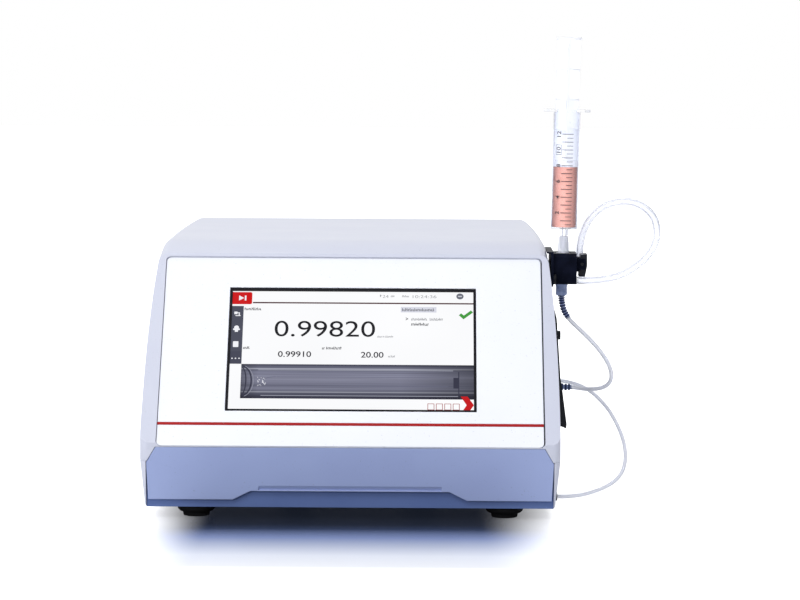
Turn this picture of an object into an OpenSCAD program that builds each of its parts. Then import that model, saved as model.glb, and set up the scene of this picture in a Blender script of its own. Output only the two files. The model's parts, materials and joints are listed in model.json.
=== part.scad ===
// Benchtop density meter with a sloped touch display, a side filling adapter and a syringe.
// X runs to the right, Y to the back and Z up. The bench is at Z = 0.

/* [Housing] */
// Width of the housing at its seam, where it is widest
body_w = 257.4; // [246:0.2:290]
// Depth of the housing from the chin to the back
body_d = 390; // [375:1:430]
// Height of the highest line of the top above the bench
top_z = 162.5; // [159:0.5:180]
// How far the top falls from there to the back
top_fall = 2.5; // [0:0.5:5]
// Height of the seam between base tray and hood
seam_z = 36; // [34:0.5:38]
// Height of the underside above the bench
base_z = 7; // [6:0.5:9]
// Wall of the hood
hood_wall = 2.5; // [2:0.1:2.8]
// Wall and floor of the base tray
base_wall = 2.5; // [2:0.1:3]
// How far each side of the hood leans in at the top
side_draw = 6.6; // [5:0.2:8]
// How far each side of the base tray leans in at the bottom
base_draw = 3.2; // [2:0.2:4]
// How far each side draws in towards the back
rear_draw = 4; // [1:0.5:6]
// Radius of the upright front corners
front_r = 5; // [4:0.5:6]
// Radius of the upright rear corners
rear_r = 14; // [10:1:18]
// Radius along the sides of the top
top_r = 6; // [5:0.5:8]
// Radius along the rear edge of the top
edge_r = 10; // [6:1:12]
// Radius of the bottom edge of the base tray
foot_edge_r = 2; // [1:0.5:2.5]

/* [Sloped front] */
// Lean of the faceplate from the vertical, in degrees
panel_tilt = 41; // [39:0.5:43]
// Height of the faceplate's lower edge above the bench
panel_z = 45.5; // [45:0.5:48]
// Thickness of the faceplate
panel_t = 2; // [1.5:0.1:2.5]
// Radius of the faceplate's corners
panel_r = 3; // [2:0.5:5]
// Width of the hood's rim beside the faceplate
rim_side = 10.2; // [9:0.2:12]
// Width of the hood's rim above the faceplate
rim_top = 2.6; // [2:0.2:4]
// How far the rim stands proud of the faceplate
rim_proud = 1; // [0.5:0.1:1.5]
// How far the rim's crest lies below the highest line of the top
crest_drop = 6.4; // [5:0.2:8]
// How far behind the crest the top becomes level
crest_run = 38; // [30:1:45]
// Gap round the faceplate
panel_gap = 0.3; // [0.2:0.05:0.5]
// Distance of the red stripe above the faceplate's lower edge
stripe_v = 15.2; // [12:0.2:20]
// Width of the red stripe
stripe_w = 2; // [1:0.1:3]
// Depth of the red stripe in the faceplate
stripe_t = 0.5; // [0.3:0.1:0.8]

/* [Display] */
// Width of the window for the display
screen_w = 155; // [140:1:160]
// Height of the window for the display
screen_h = 94; // [84:1:96]
// Distance of the window below the faceplate's upper edge
screen_drop = 23.2; // [20:0.2:26]
// Width of the black surround of the display
bezel_w = 1.5; // [1:0.1:2.5]
// Lap of the touch glass behind the window, on each side
glass_lap = 5; // [3:0.5:6]
// Thickness of the touch glass
glass_t = 1.2; // [0.8:0.1:1.5]
// Thickness of the display module
module_t = 6; // [5:0.5:7]
// Thickness of the carrier frame behind the faceplate
frame_t = 2.5; // [2:0.1:3]
// Wall of the carrier frame's box round the display
frame_wall = 2; // [1.5:0.1:2.5]
// Thickness of every circuit board
board_t = 1.6; // [1.2:0.1:2]

/* [Chin] */
// Height of the chin's upper edge above the bench
skirt_top = 44.4; // [44:0.1:44.8]
// Height of the chin's lower edge above the bench
skirt_bottom = 11.8; // [10:0.2:14]
// Thickness of the chin
skirt_t = 2.5; // [2:0.1:3]
// Lean of the chin's lower edge towards the back, in degrees
skirt_lean = 4.4; // [3:0.2:5]
// Strip of the housing's side left beside the chin
skirt_inset = 4; // [3.5:0.1:5]
// Half the width of the lift recess under the chin, at its top
recess_half = 61; // [50:1:70]
// Height of the lift recess above the chin's lower edge
recess_h = 5.4; // [4:0.2:7]
// Height of the groove above the lift recess
groove_h = 2.8; // [2:0.2:4]
// Depth of that groove
groove_d = 1.3; // [0.8:0.1:1.6]

/* [Feet] */
// Diameter of a foot's upper step
foot_d = 23; // [20:1:26]
// Diameter of a foot's pad
pad_d = 17; // [14:1:19]
// Height of a foot's pad
pad_h = 3; // [2:0.5:4]
// Distance of each front foot's middle from the side of the housing
front_foot_in = 33.7; // [29:0.1:44]
// Distance of each rear foot's middle from the side of the housing
rear_foot_in = 83.7; // [34:0.1:94]
// Distance of the front feet behind the front
front_foot_y = 19.4; // [17:0.2:30]
// Distance of the rear feet in front of the back
rear_foot_y = 26; // [20:1:40]

/* [Filling adapter] */
// Depth of the adapter's middle behind the front
adapter_y = 118; // [116:1:124]
// Distance of the adapter's top below the highest line of the top
adapter_drop = 6.4; // [6:0.2:8]
// Width of the adapter block, away from the housing
block_w = 15; // [14:0.5:18]
// Depth of the adapter block
block_d = 24; // [22:1:28]
// Height of the adapter block
block_h = 19.6; // [19:0.2:22]
// Thickness of the adapter's mounting plate
plate_t = 1.6; // [1.2:0.1:2]
// Distance of the syringe's axis from the mounting plate
inlet_x = 6.7; // [6:0.1:7.5]
// Lean of the inlet and the syringe away from the housing, in degrees
inlet_lean = 1.1; // [0:0.1:1.5]
// Height of the filling cone above the block
cone_h = 10.6; // [10:0.2:12]
// Diameter of the filling cone at its foot
cone_d = 7.4; // [7:0.1:8]
// Width of the latch lever along its pin
lever_w = 13.8; // [12:0.2:14]
// Travel of the latch lever, in degrees
lever_travel = 7; // [5:0.5:8]
// Diameter of the latch pin
latch_pin_d = 2; // [1.6:0.1:2.2]

/* [Syringe] */
// Outer diameter of the barrel
barrel_d = 17.1; // [16.6:0.1:18]
// Bore of the barrel
barrel_bore = 15.9; // [15:0.1:16]
// Length of the barrel
barrel_l = 76.6; // [74:0.2:84]
// Width of the finger flange
flange_w = 30; // [26:1:34]
// Distance of the barrel's end above the block
barrel_lift = 15.3; // [15:0.1:17]
// Length of one millilitre in the bore
ml_l = 5.03; // [4.8:0.01:5.3]
// Volume of the sample in the barrel
sample_ml = 7.7; // [2:0.1:10]
// Length of the plunger
plunger_l = 82.6; // [78:0.2:90]

/* [Leads and hose] */
// Diameter of the outlet hose
hose_d = 4.7; // [4:0.1:5]
// Diameter of the sensor lead
lead_d = 2.7; // [2.4:0.1:3]
// Diameter of the auxiliary lead
aux_d = 2.4; // [2:0.1:2.6]

/* [Drip deflector] */
// Distance of the deflector's front end behind the front
deflector_y = 70; // [68:1:74]
// Length of the deflector along the side
deflector_l = 74; // [60:1:75]
// Thickness of the deflector's walls
deflector_t = 1.6; // [1.2:0.1:2]
// How far the deflector's lower edge stands out from the side
deflector_out = 6.5; // [5:0.5:9]
// Height of the deflector's screws above the bench
deflector_screw_z = 106.4; // [102:0.2:110]

/* [Measuring cell] */
// Diameter of the oscillating glass tube
tube_d = 3; // [2.6:0.1:3.2]
// Bore of the oscillating glass tube
tube_bore = 2; // [1.4:0.1:2.2]
// Distance between the tube's legs
leg_gap = 8; // [7:0.5:8.4]
// Length of the tube's legs inside the housing
leg_l = 162; // [150:1:164]
// Outer diameter of the glass jacket
jacket_d = 16; // [15:0.5:17]
// Wall of the glass jacket
jacket_wall = 1; // [0.8:0.1:1.2]
// Length of the thermostat block
thermo_l = 122; // [110:1:124]
// Depth of the thermostat block
thermo_d = 34; // [30:1:34]
// Thickness of a Peltier module
peltier_t = 3.6; // [3:0.1:4.2]
// Edge of a Peltier module
peltier_w = 30; // [26:1:32]
// Thickness of the heat sink's base
sink_base_t = 6; // [5:0.5:8]
// Length of the heat sink's fins
fin_l = 30; // [20:1:34]
// Number of the heat sink's fins
fin_n = 14; // [10:1:18]
// Thickness of the cell's carrier legs
bracket_t = 2; // [1.5:0.1:3]

/* [Electronics] */
// Width of the main board
main_w = 148; // [140:1:152]
// Depth of the main board
main_d = 180; // [170:1:186]
// Height of the main board above the tray's floor
main_lift = 34.5; // [33:0.5:36]
// Width of the power supply
psu_w = 66; // [60:1:70]
// Depth of the power supply
psu_d = 140; // [120:1:145]
// Height of the power supply
psu_h = 33; // [30:1:34]
// Edge of the square fan
fan_w = 60; // [55:1:62]
// Thickness of the fan
fan_t = 25; // [20:1:28]
// Thickness of the rear panel
rear_t = 1.5; // [1.2:0.1:2]
// Length of the air pump's motor
pump_l = 34; // [30:1:40]
// Diameter of the air pump's motor
pump_d = 27; // [24:1:28]

/* [Hidden] */
$fn = 48;
// Clearance between two pieces that only rest on or in each other
seat = 0.2;
// Radial clearance of a piece that slides or turns in another
run_fit = 0.05;
// Overlap of a cut past the face that it opens
cut = 1;
// A length past every side of the object
far = 4 * body_d;

// Sloped front, worked out from the top and the tilt
rim_v = (top_z - crest_drop - panel_z - rim_proud * sin(panel_tilt)) / cos(panel_tilt);
panel_h = rim_v - rim_top;
panel_w = body_w - 2 * rim_side;
crest_edge_y = rim_v * sin(panel_tilt) - rim_proud * cos(panel_tilt);
crest_y = crest_edge_y + crest_run;
crest_r = crest_run * crest_run / (2 * crest_drop);
draw_y = body_d / 2;
screen_v = panel_h - screen_drop - screen_h / 2;

// Sideways places of the feet
front_foot_x = body_w / 2 - front_foot_in;
rear_foot_x = body_w / 2 - rear_foot_in;

// Depth planes of the front
skirt_back = skirt_t + seat;
hood_front_in = skirt_back + hood_wall;
base_front = skirt_t + (skirt_top - skirt_bottom) * tan(skirt_lean) + 0.3;
floor_z = base_z + base_wall;

// Layers behind the faceplate, measured outwards from its face
glass_w = screen_w + 2 * glass_lap;
glass_h = screen_h + 2 * glass_lap;
glass_back = -panel_t - glass_t;
module_back = glass_back - module_t;
spacer_l = 1.6;
board_face = module_back - spacer_l;

// Rear panel
rear_out = body_d - hood_wall - seat;
rear_in = rear_out - rear_t;
rear_half = body_w / 2 - 21.2;
rear_low = seam_z + 2;
rear_high = top_z - top_fall - 9;
rear_lap = 4;

// Adapter and its axes
adapter_top = top_z - adapter_drop;
adapter_low = adapter_top - block_h;
plate_x = side_x(adapter_low, adapter_y) + seat;
block_x = plate_x + plate_t;
block_end = block_x + block_w;
block_front = adapter_y - block_d / 2;
block_back = adapter_y + block_d / 2;
syringe_x = block_x + inlet_x;
outlet_z = adapter_low + 2.4;
outlet_y = block_front + 5;
lever_z = adapter_top - 7.1;
lever_x = block_end + 3.8;
lever_y0 = block_front + 8.1;
return_x = block_end + 2.9;
return_y = block_back + 4.5;
return_z = adapter_top - 5.2;
ear_t = 1.4;
hole_d = 3.2;
screw_d = 3;

// Cell, hung from the adapter's height and the right wall
cell_z = adapter_low + 8.5;
cell_right = side_x(cell_z + jacket_d / 2, adapter_y) - hood_wall - 0.4;
thermo_right = cell_right - 25;
thermo_left = thermo_right - thermo_l;
thermo_top = cell_z + jacket_d / 2 + 2;
thermo_low = cell_z - 33;
peltier_low = thermo_low - peltier_t;
sink_low = peltier_low - sink_base_t;
sink_over = 8;
window_x = thermo_left + 56;

// Syringe, along its own axis from the block's top
barrel_floor = 1.2;
sample_low = barrel_lift + barrel_floor;
sample_high = sample_low + sample_ml * ml_l;
piston_h = 4;
barrel_top = barrel_lift + barrel_l;
tip_end = 3.2;

// Ports in the right side
port_z = 66;
port_y = 150;
aux_port_z = 68;
aux_port_y = 168;
grommet_z = 11.4;
grommet_y = 28;
grommet_d = 5.2;
grommet_x = body_w / 2 - base_lean(grommet_z + grommet_d / 2) + 0.1;
port_flange_t = 1.9;

// Rear items
inlet_pos = [48.7 - body_w / 2, 79];
inlet_size = [27, 20, 46];
socket_size = [24.4, 16, 16.6];
drawer_drop = 16;
drawer_size = [21.4, 15.4, 10.4];
fuse_d = 5;
switch_pos = [inlet_pos[0], 120];
fan_pos = [body_w / 2 - 73.7, 102];
main_z = floor_z + main_lift;
main_x = body_w / 2 - 16.7 - main_w;
main_y = rear_in - 1.5 - main_d;
psu_x = 12.7 - body_w / 2;
psu_y = rear_in - 40 - psu_d;
pump_pos = [body_w / 2 - 66.7, main_y + 30];
pump_z = floor_z + 15;

// Ends of the leads and hoses on their fittings
hose_from = [block_end + 1.3, outlet_y, outlet_z];
hose_to = [return_x, return_y, return_z + 1.5];
plug_from = [syringe_x - 0.8, adapter_y, adapter_low - 7.9];
plug_to = plug_from + [4.4, 0, -14.4];
socket_from = [side_x(port_z, port_y) + port_flange_t, port_y, port_z];
socket_to = socket_from + [11, 0, -0.4];
aux_from = [side_x(aux_port_z, aux_port_y) + port_flange_t, aux_port_y, aux_port_z];
aux_to = [grommet_x + 1.4, grommet_y, grommet_z];
air_z = return_z - 3;
air_from = [pump_pos[0] + 33.8, pump_pos[1] + 15, pump_z + 1.5];
air_to = [block_x - 0.15, return_y, air_z];
air_d = 4;

// Routes of the leads and hoses, as they hang. Their ends are drawn to the fittings.
HOSE = [
    [143.5, 111, 138.9], [149, 111, 138.9], [156, 111, 139.4], [164, 111, 140.6],
    [171.5, 112, 142.8], [179, 113.5, 147], [185.5, 115, 152], [190.5, 117, 158],
    [193.7, 118.8, 164.5], [194.3, 120.5, 171.5], [191.8, 123, 179], [186, 126, 185],
    [178, 128.5, 188.3], [169.5, 130.8, 188.3], [161.5, 132.3, 185.6], [155, 133.2, 180.8],
    [150.2, 133.9, 174.6], [147.2, 134.3, 167.6], [145.5, 134.5, 160], [145.1, 134.5, 152.4]
];
LEAD = [
    [137.5, 118, 114.2], [140.4, 118, 110.9], [145.5, 118.4, 106.2], [150.8, 119.4, 101],
    [155.8, 120.9, 95.6], [160.4, 123.1, 89.8], [164, 126, 83.8], [166.2, 129.4, 77.9],
    [166.3, 133.2, 72.6], [163.8, 137.6, 68.2], [159, 142, 65.7], [153.6, 145.6, 64.8],
    [149, 148, 64.8], [145, 149.5, 65.2], [141.5, 150, 65.6]
];
AUX = [
    [130.5, 168, 68], [136, 168, 67.6], [142.5, 167.8, 66.4], [149, 166.9, 64.3],
    [155.2, 164.2, 60.8], [160.8, 159.4, 56.2], [165.8, 152.4, 50.8], [169.8, 143.6, 44.6],
    [172.8, 133.6, 38.2], [174.5, 122.6, 32.4], [174.8, 111, 27], [173.6, 99, 21.9],
    [170.8, 87, 17.8], [166.4, 75.4, 14.9], [160.4, 63.8, 12.9], [153, 52.6, 11.5],
    [144.4, 41.8, 10.7], [136.6, 33.2, 10.9], [131.8, 29.2, 11.2], [127.5, 28, 11.4]
];
PLUG_BEND = [[133.1, 118, 128.6], [133.5, 118, 124.2], [134.9, 118, 118.8], [137.5, 118, 114.2]];
SOCKET_BEND = [[130.5, 150, 66], [134, 150, 65.8], [138, 150, 65.6], [141.5, 150, 65.6]];
AIR = [
    [95.8, 249.3, 26], [101, 249.3, 26], [106.5, 247, 26.3], [110.3, 241.5, 27], [112, 233, 28.4],
    [112, 217, 31], [112, 200, 36], [112, 184, 50], [112, 168, 78], [112, 152, 112],
    [112.8, 141, 135], [115.5, 136.2, 144.2], [120.5, 134.6, 147.6], [127.1, 134.5, 147.9]
];

// ---------- Shape of the housing ----------

// How far a rounded corner of radius r has drawn in at distance d from its end
function corner_in(r, d) = d >= r ? 0 : r - sqrt(max(0, r * r - (r - d) * (r - d)));

// Corner radius that is left after an inset t
function inset_r(r, t) = max(1, r - t);

// How far the hood's side leans in at height z
function side_lean(z) = side_draw * pow(max(0, (z - seam_z) / (top_z - seam_z)), 3);

// How far the base tray's side leans in at height z
function base_lean(z) = base_draw * max(0, (seam_z - z) / (seam_z - base_z));

// How far a side draws in towards the back at depth y
function rear_in_draw(y) = rear_draw * pow(max(0, (y - draw_y) / (body_d - draw_y)), 2);

// Sideways position of the hood's outer side at height z and depth y
function side_x(z, y) = body_w / 2 - side_lean(z) - rear_in_draw(y);

// Half width of the plan at depth y, inset by t
function plan_half(y, t) = body_w / 2 - t - rear_in_draw(y)
    - corner_in(inset_r(front_r, t), y - t)
    - corner_in(inset_r(rear_r, t), body_d - t - y);

// Height of the top at depth y, inset by t
function top_h(y, t) = top_z - t
    - min(crest_drop, pow(max(0, crest_y - y), 2) / (2 * crest_r))
    - top_fall * max(0, (y - crest_y) / (body_d - crest_y))
    - corner_in(inset_r(edge_r, t), body_d - t - y);

// Depths at which the plan is worked out, with round corners at both ends
function plan_depths(t) = concat(
    [for (a = [0 : 30 : 90]) t + inset_r(front_r, t) * (1 - cos(a))],
    [for (i = [0 : 4]) crest_edge_y + crest_run * i / 4],
    [for (i = [0 : 3]) draw_y + (body_d - rear_r - draw_y) * i / 4],
    [for (a = [0 : 22.5 : 90]) body_d - t - inset_r(rear_r, t) * (1 - sin(a))]
);

// Cross section of the hood at depth y, inset by t, down to height low
function hood_ring(y, t, low) =
    let (r = inset_r(top_r, t))
    let (bend_z = top_h(y, t) - r)
    let (half = plan_half(y, t))
    let (bend_x = half - side_lean(bend_z) - r)
    let (side = [for (i = [0 : 5]) let (z = low + (bend_z - low) * i / 5) [half - side_lean(z), z]])
    let (bend = [for (a = [18 : 18 : 90]) [bend_x + r * cos(a), bend_z + r * sin(a)]])
    let (right = concat(side, bend))
    let (n = len(right))
    concat(
        [for (p = right) [p[0], y, p[1]]],
        [for (i = [n - 1 : -1 : 0]) [-right[i][0], y, right[i][1]]]
    );

// Outline of the base tray at height z, inset by t
function base_ring(z, t) =
    let (inset = t + base_lean(z) + corner_in(foot_edge_r, z - base_z))
    let (depths = plan_depths(inset))
    let (n = len(depths))
    concat(
        [for (i = [n - 1 : -1 : 0]) [plan_half(depths[i], inset), depths[i], z]],
        [for (y = depths) [-plan_half(y, inset), y, z]]
    );

// Solid between a row of rings that all have the same number of points
module skin(rings) {
    n = len(rings[0]);
    last = len(rings) - 1;
    polyhedron(
        points = [for (ring = rings) each ring],
        faces = concat(
            [[for (i = [n - 1 : -1 : 0]) i]],
            [for (k = [0 : last - 1], i = [0 : n - 1])
                let (a = k * n + i, b = k * n + (i + 1) % n)
                each [[a, b + n, a + n], [a, b, b + n]]],
            [[for (i = [0 : n - 1]) last * n + i]]
        )
    );
}

module hood_solid(t, low) {
    skin([for (y = plan_depths(t)) hood_ring(y, t, low)]);
}

module base_solid(levels, t) {
    skin([for (z = levels) base_ring(z, t)]);
}

// ---------- Helpers ----------

// Turns and moves children onto the faceplate: x across, y up the slope, z outwards
module on_panel() {
    translate([0, 0, panel_z]) rotate([90 - panel_tilt, 0, 0]) children();
}

// Everything on the inner side of a plane that lies w outside the faceplate
module behind_panel(w) {
    on_panel() translate([-far / 2, -far / 2, w - far]) cube([far, far, far]);
}

// Turns and moves children onto the chin: x across, y up from its upper edge, z outwards
module on_skirt() {
    translate([0, 0, skirt_top]) rotate([90 + skirt_lean, 0, 0]) children();
}

// Moves children onto the axis of the inlet, with z along it from the block's top
module on_inlet() {
    translate([syringe_x, adapter_y, adapter_top]) rotate([0, inlet_lean, 0]) children();
}

// Outline points of a rectangle with round corners about the origin
function round_rect(w, h, r) = [
    for (q = [0 : 3], a = [0 : 15 : 90])
        let (sx = (q == 0 || q == 3) ? 1 : -1, sy = q < 2 ? 1 : -1)
        [sx * (w / 2 - r) + r * cos(90 * q + a), sy * (h / 2 - r) + r * sin(90 * q + a)]
];

module round_plate(w, h, r, t) {
    linear_extrude(t) polygon(round_rect(w, h, r));
}

// Box between two corners
module box(a, b) {
    translate(a) cube(b - a);
}

// Cylinder of length l from a point, along X, Y or Z
module rod_x(p, d, l) {
    translate(p) rotate([0, 90, 0]) cylinder(d = d, h = l);
}

module rod_y(p, d, l) {
    translate(p) rotate([-90, 0, 0]) cylinder(d = d, h = l);
}

module rod_z(p, d, l) {
    translate(p) cylinder(d = d, h = l);
}

// Pan head screw whose head stands on the origin and whose shank runs down from it
module screw(l, head_d = 5.6, head_h = 1.8) {
    difference() {
        union() {
            cylinder(d = head_d, h = head_h);
            translate([0, 0, -l]) cylinder(d = screw_d, h = l + 0.1);
        }
        for (a = [0, 90])
            rotate([0, 0, a]) translate([-head_d * 0.3, -0.35, head_h - 0.9])
                cube([head_d * 0.6, 0.7, 2]);
    }
}

// Direction of a route at its point i
function heading(p, i) =
    let (v = p[min(i + 1, len(p) - 1)] - p[max(i - 1, 0)])
    v / norm(v);

// First side direction of a route, square to its start
function first_side(t) =
    let (n = cross(t, abs(t[2]) > 0.8 ? [0, 1, 0] : [0, 0, 1]))
    n / norm(n);

// Side direction carried along the route without twist
function sides(p, i) =
    i == 0 ? [first_side(heading(p, 0))] :
    let (before = sides(p, i - 1))
    let (t = heading(p, i))
    let (n = before[i - 1] - t * (before[i - 1] * t))
    concat(before, [n / norm(n)]);

// Route p with its start drawn to a, its end drawn to b and the rest in between
function drawn(p, a, b) =
    let (last = len(p) - 1)
    [for (i = [0 : last]) p[i] + (a - p[0]) * (1 - i / last) + (b - p[last]) * i / last];

// Round tube along a route, with diameter d0 at its start and d1 at its end
module tube_along(p, d0, d1, count) {
    last = len(p) - 1;
    across = sides(p, last);
    skin([
        for (i = [0 : last])
            let (t = heading(p, i), n = across[i], b = cross(t, n))
            let (r = (d0 + (d1 - d0) * i / last) / 2)
            [for (k = [0 : count - 1])
                let (a = -360 * k / count)
                p[i] + r * (n * cos(a) + b * sin(a))]
    ]);
}

// ---------- Housing ----------

// Outline of the chin on its plane, grown by g, without its recess
function skirt_outline(g) =
    let (top = panel_w / 2 + 0.5 + g)
    let (wide = body_w / 2 - skirt_inset + g)
    let (low = skirt_bottom - skirt_top - g)
    let (bend = -9.5)
    [[-wide + 1.2, low], [wide - 1.2, low], [wide, bend], [top, g], [-top, g], [-wide, bend]];

module skirt_pocket() {
    on_skirt() translate([0, 0, -skirt_back]) linear_extrude(20) polygon(skirt_outline(seat));
}

module base_tray() {
    levels = [base_z, base_z + 0.3, base_z + 0.8, base_z + foot_edge_r, seam_z];
    front_half = body_w / 2 - skirt_inset + seat;
    color([0.83, 0.84, 0.91]) difference() {
        union() {
            base_solid(levels, 0);
            for (s = [-1, 1])
                rod_z([s * (front_foot_x + 20), base_front + 4, base_z - 1.8], 5, 2.3);
        }
        intersection() {
            base_solid([floor_z, seam_z + cut], base_wall);
            box([-far, base_front + base_wall, -far], [far, far, far]);
        }
        box([-front_half, -cut, base_z - cut], [front_half, base_front, seam_z + cut]);
        foot_places() translate([0, 0, base_z - cut]) cylinder(d = screw_d + 0.2, h = base_wall + 2);
        rod_x([body_w / 2 - 12, grommet_y, grommet_z], aux_d + 0.6, 20);
    }
}

module hood() {
    window_half = rear_half - rear_lap;
    color([0.9, 0.91, 0.96]) difference() {
        intersection() {
            hood_solid(0, seam_z);
            behind_panel(rim_proud);
        }
        intersection() {
            hood_solid(hood_wall, seam_z - cut);
            behind_panel(-panel_t);
            box([-far, hood_front_in, -far], [far, far, far]);
        }
        on_panel() translate([0, panel_h / 2, -panel_t - 4])
            round_plate(panel_w + 2 * panel_gap, panel_h + 2 * panel_gap, panel_r, 12);
        skirt_pocket();
        box([-window_half, rear_in - cut, rear_low + rear_lap],
            [window_half, body_d + cut, rear_high - rear_lap]);
        rod_x([plate_x - 12, adapter_y, cell_z], 15, 20);
        rod_x([plate_x - 12, return_y, air_z], air_d + 1, 20);
        adapter_screw_places() rod_x([-12, 0, 0], screw_d + 0.2, 20);
        rod_x([body_w / 2 - 12, port_y, port_z], 7.2, 20);
        rod_x([body_w / 2 - 12, aux_port_y, aux_port_z], 4.2, 20);
        deflector_screw_places() rod_x([-14, 0, 0], screw_d + 0.2, 20);
        rear_screw_places() rod_y([0, -8, 0], screw_d + 0.2, 12);
    }
}

module front_skirt() {
    slope = recess_h * 2;
    low = skirt_bottom - skirt_top;
    color([0.56, 0.6, 0.77]) difference() {
        on_skirt() translate([0, 0, -skirt_t]) linear_extrude(skirt_t) polygon(skirt_outline(0));
        on_skirt() translate([0, 0, -10]) linear_extrude(20) polygon([
            [-recess_half - slope, low - cut], [recess_half + slope, low - cut],
            [recess_half + slope, low], [recess_half, low + recess_h],
            [-recess_half, low + recess_h], [-recess_half - slope, low]
        ]);
        on_skirt() translate([-recess_half + 5, low + recess_h + 0.6, 0]) rotate([0, 90, 0])
            linear_extrude(2 * recess_half - 10)
            polygon([[-cut, 0], [groove_d, 0], [-0.01, groove_h], [-cut, groove_h]]);
        on_panel() translate([-far / 2, -panel_gap, -panel_t - seat]) cube([far, 20, 20]);
    }
}

module faceplate() {
    color([0.97, 0.97, 0.98]) on_panel() difference() {
        translate([0, panel_h / 2, -panel_t]) round_plate(panel_w, panel_h, panel_r, panel_t);
        translate([-screen_w / 2, screen_v - screen_h / 2, -panel_t - cut])
            cube([screen_w, screen_h, panel_t + 2 * cut]);
        translate([-panel_w / 2 - cut, stripe_v, -stripe_t])
            cube([panel_w + 2 * cut, stripe_w, stripe_t + cut]);
    }
}

module accent_stripe() {
    color([0.72, 0.07, 0.08]) on_panel()
        translate([-panel_w / 2, stripe_v + 0.05, -stripe_t])
        cube([panel_w, stripe_w - 0.1, stripe_t + 0.05]);
}

module front_frame() {
    low_v = (hood_front_in + seat) / sin(panel_tilt);
    high_v = panel_h - rim_top - 0.3;
    inner_half = side_x(top_z - crest_drop - 4, 0) - hood_wall - 0.4;
    half = min(panel_w / 2 + 2.2, inner_half);
    box_w = glass_w + 2 * seat + 2 * frame_wall;
    box_h = glass_h + 2 * seat + 2 * frame_wall;
    color([0.25, 0.26, 0.3]) on_panel() difference() {
        union() {
            translate([-half, low_v, -panel_t - frame_t]) cube([2 * half, high_v - low_v, frame_t]);
            translate([-box_w / 2, screen_v - box_h / 2, board_face])
                cube([box_w, box_h, -panel_t - board_face]);
        }
        translate([-glass_w / 2 - seat, screen_v - glass_h / 2 - seat, board_face - cut])
            cube([glass_w + 2 * seat, glass_h + 2 * seat, far]);
    }
}

// Places of the screws that hold the rear panel
module rear_screw_places() {
    for (s = [-1, 1], i = [0 : 2])
        translate([s * (rear_half - rear_lap / 2), body_d,
            rear_low + 10 + (rear_high - rear_low - 20) * i / 2]) children();
}

module rear_panel() {
    color([0.75, 0.76, 0.8]) difference() {
        box([-rear_half, rear_in, rear_low], [rear_half, rear_out, rear_high]);
        box([inlet_pos[0] - inlet_size[0] / 2 - seat, rear_in - cut, inlet_pos[1] - 33],
            [inlet_pos[0] + inlet_size[0] / 2 + seat, rear_out + cut, inlet_pos[1] + 13.4]);
        box([switch_pos[0] - 6.7, rear_in - cut, switch_pos[1] - 9.7],
            [switch_pos[0] + 6.7, rear_out + cut, switch_pos[1] + 9.7]);
        rod_y([fan_pos[0], rear_in - 4, fan_pos[1]], fan_w - 4, 8);
        fan_screw_places() rod_y([0, -8, 0], screw_d + 0.2, 12);
        port_cutouts();
        rear_screw_places() rod_y([0, -8, 0], screw_d, 12);
        for (i = [0 : 7])
            box([-44 + 7 * i, rear_in - cut, rear_high - 44], [-41 + 7 * i, rear_out + cut, rear_high - 14]);
    }
    color([0.3, 0.3, 0.33]) difference() {
        for (r = [0.18, 0.31, 0.44])
            translate([fan_pos[0], rear_in, fan_pos[1]]) rotate([-90, 0, 0]) difference() {
                cylinder(d = 2 * r * (fan_w - 4) + 2, h = rear_t);
                translate([0, 0, -cut]) cylinder(d = 2 * r * (fan_w - 4) - 2, h = rear_t + 2 * cut);
            }
    }
    color([0.3, 0.3, 0.33]) for (a = [0, 90])
        translate([fan_pos[0], rear_in, fan_pos[1]]) rotate([0, a, 0])
            translate([-fan_w / 2 + 1.6, 0, -1.2]) cube([fan_w - 3.2, rear_t, 2.4]);
}

module housing_screws() {
    color([0.6, 0.6, 0.62]) rear_screw_places() rotate([-90, 0, 0]) screw(hood_wall + rear_t + 2.5);
}

// ---------- Feet ----------

module foot_places() {
    for (s = [-1, 1]) {
        translate([s * front_foot_x, front_foot_y, 0]) children();
        translate([s * rear_foot_x, body_d - rear_foot_y, 0]) children();
    }
}

module feet() {
    color([0.06, 0.06, 0.07]) foot_places() difference() {
        union() {
            cylinder(d1 = pad_d - 1, d2 = pad_d, h = pad_h);
            translate([0, 0, pad_h - 0.2]) cylinder(d1 = foot_d - 3, d2 = foot_d, h = 1.4);
            translate([0, 0, pad_h + 1.2]) cylinder(d = foot_d, h = base_z - pad_h - 1.2);
        }
        translate([0, 0, -cut]) cylinder(d = 7, h = 2.4 + cut);
        translate([0, 0, -cut]) cylinder(d = screw_d + 0.4, h = base_z + 2);
    }
}

module foot_screws() {
    color([0.6, 0.6, 0.62]) foot_places()
        translate([0, 0, 2.3]) mirror([0, 0, 1]) screw(base_z + base_wall - 1);
}

// ---------- Display ----------

module display_bezel() {
    w = screen_w - 2 * 0.15;
    h = screen_h - 2 * 0.15;
    color([0.03, 0.03, 0.04]) on_panel() translate([0, screen_v, -panel_t]) difference() {
        translate([-w / 2, -h / 2, 0]) cube([w, h, panel_t - 0.4]);
        translate([-w / 2 + bezel_w, -h / 2 + bezel_w, -cut])
            cube([w - 2 * bezel_w, h - 2 * bezel_w, panel_t + 2 * cut]);
    }
}

module touch_glass() {
    color([0.15, 0.16, 0.2]) on_panel() translate([-glass_w / 2, screen_v - glass_h / 2, glass_back])
        cube([glass_w, glass_h, glass_t]);
}

module display_module() {
    inset = 1;
    color([0.5, 0.52, 0.55]) on_panel() {
        translate([-glass_w / 2 + inset, screen_v - glass_h / 2 + inset, module_back])
            cube([glass_w - 2 * inset, glass_h - 2 * inset, module_t]);
        for (sx = [-1, 1], sy = [-1, 1])
            translate([sx * (glass_w / 2 - 12), screen_v + sy * (glass_h / 2 - 12), board_face])
                cylinder(d = 6, h = spacer_l + 0.1);
    }
}

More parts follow.
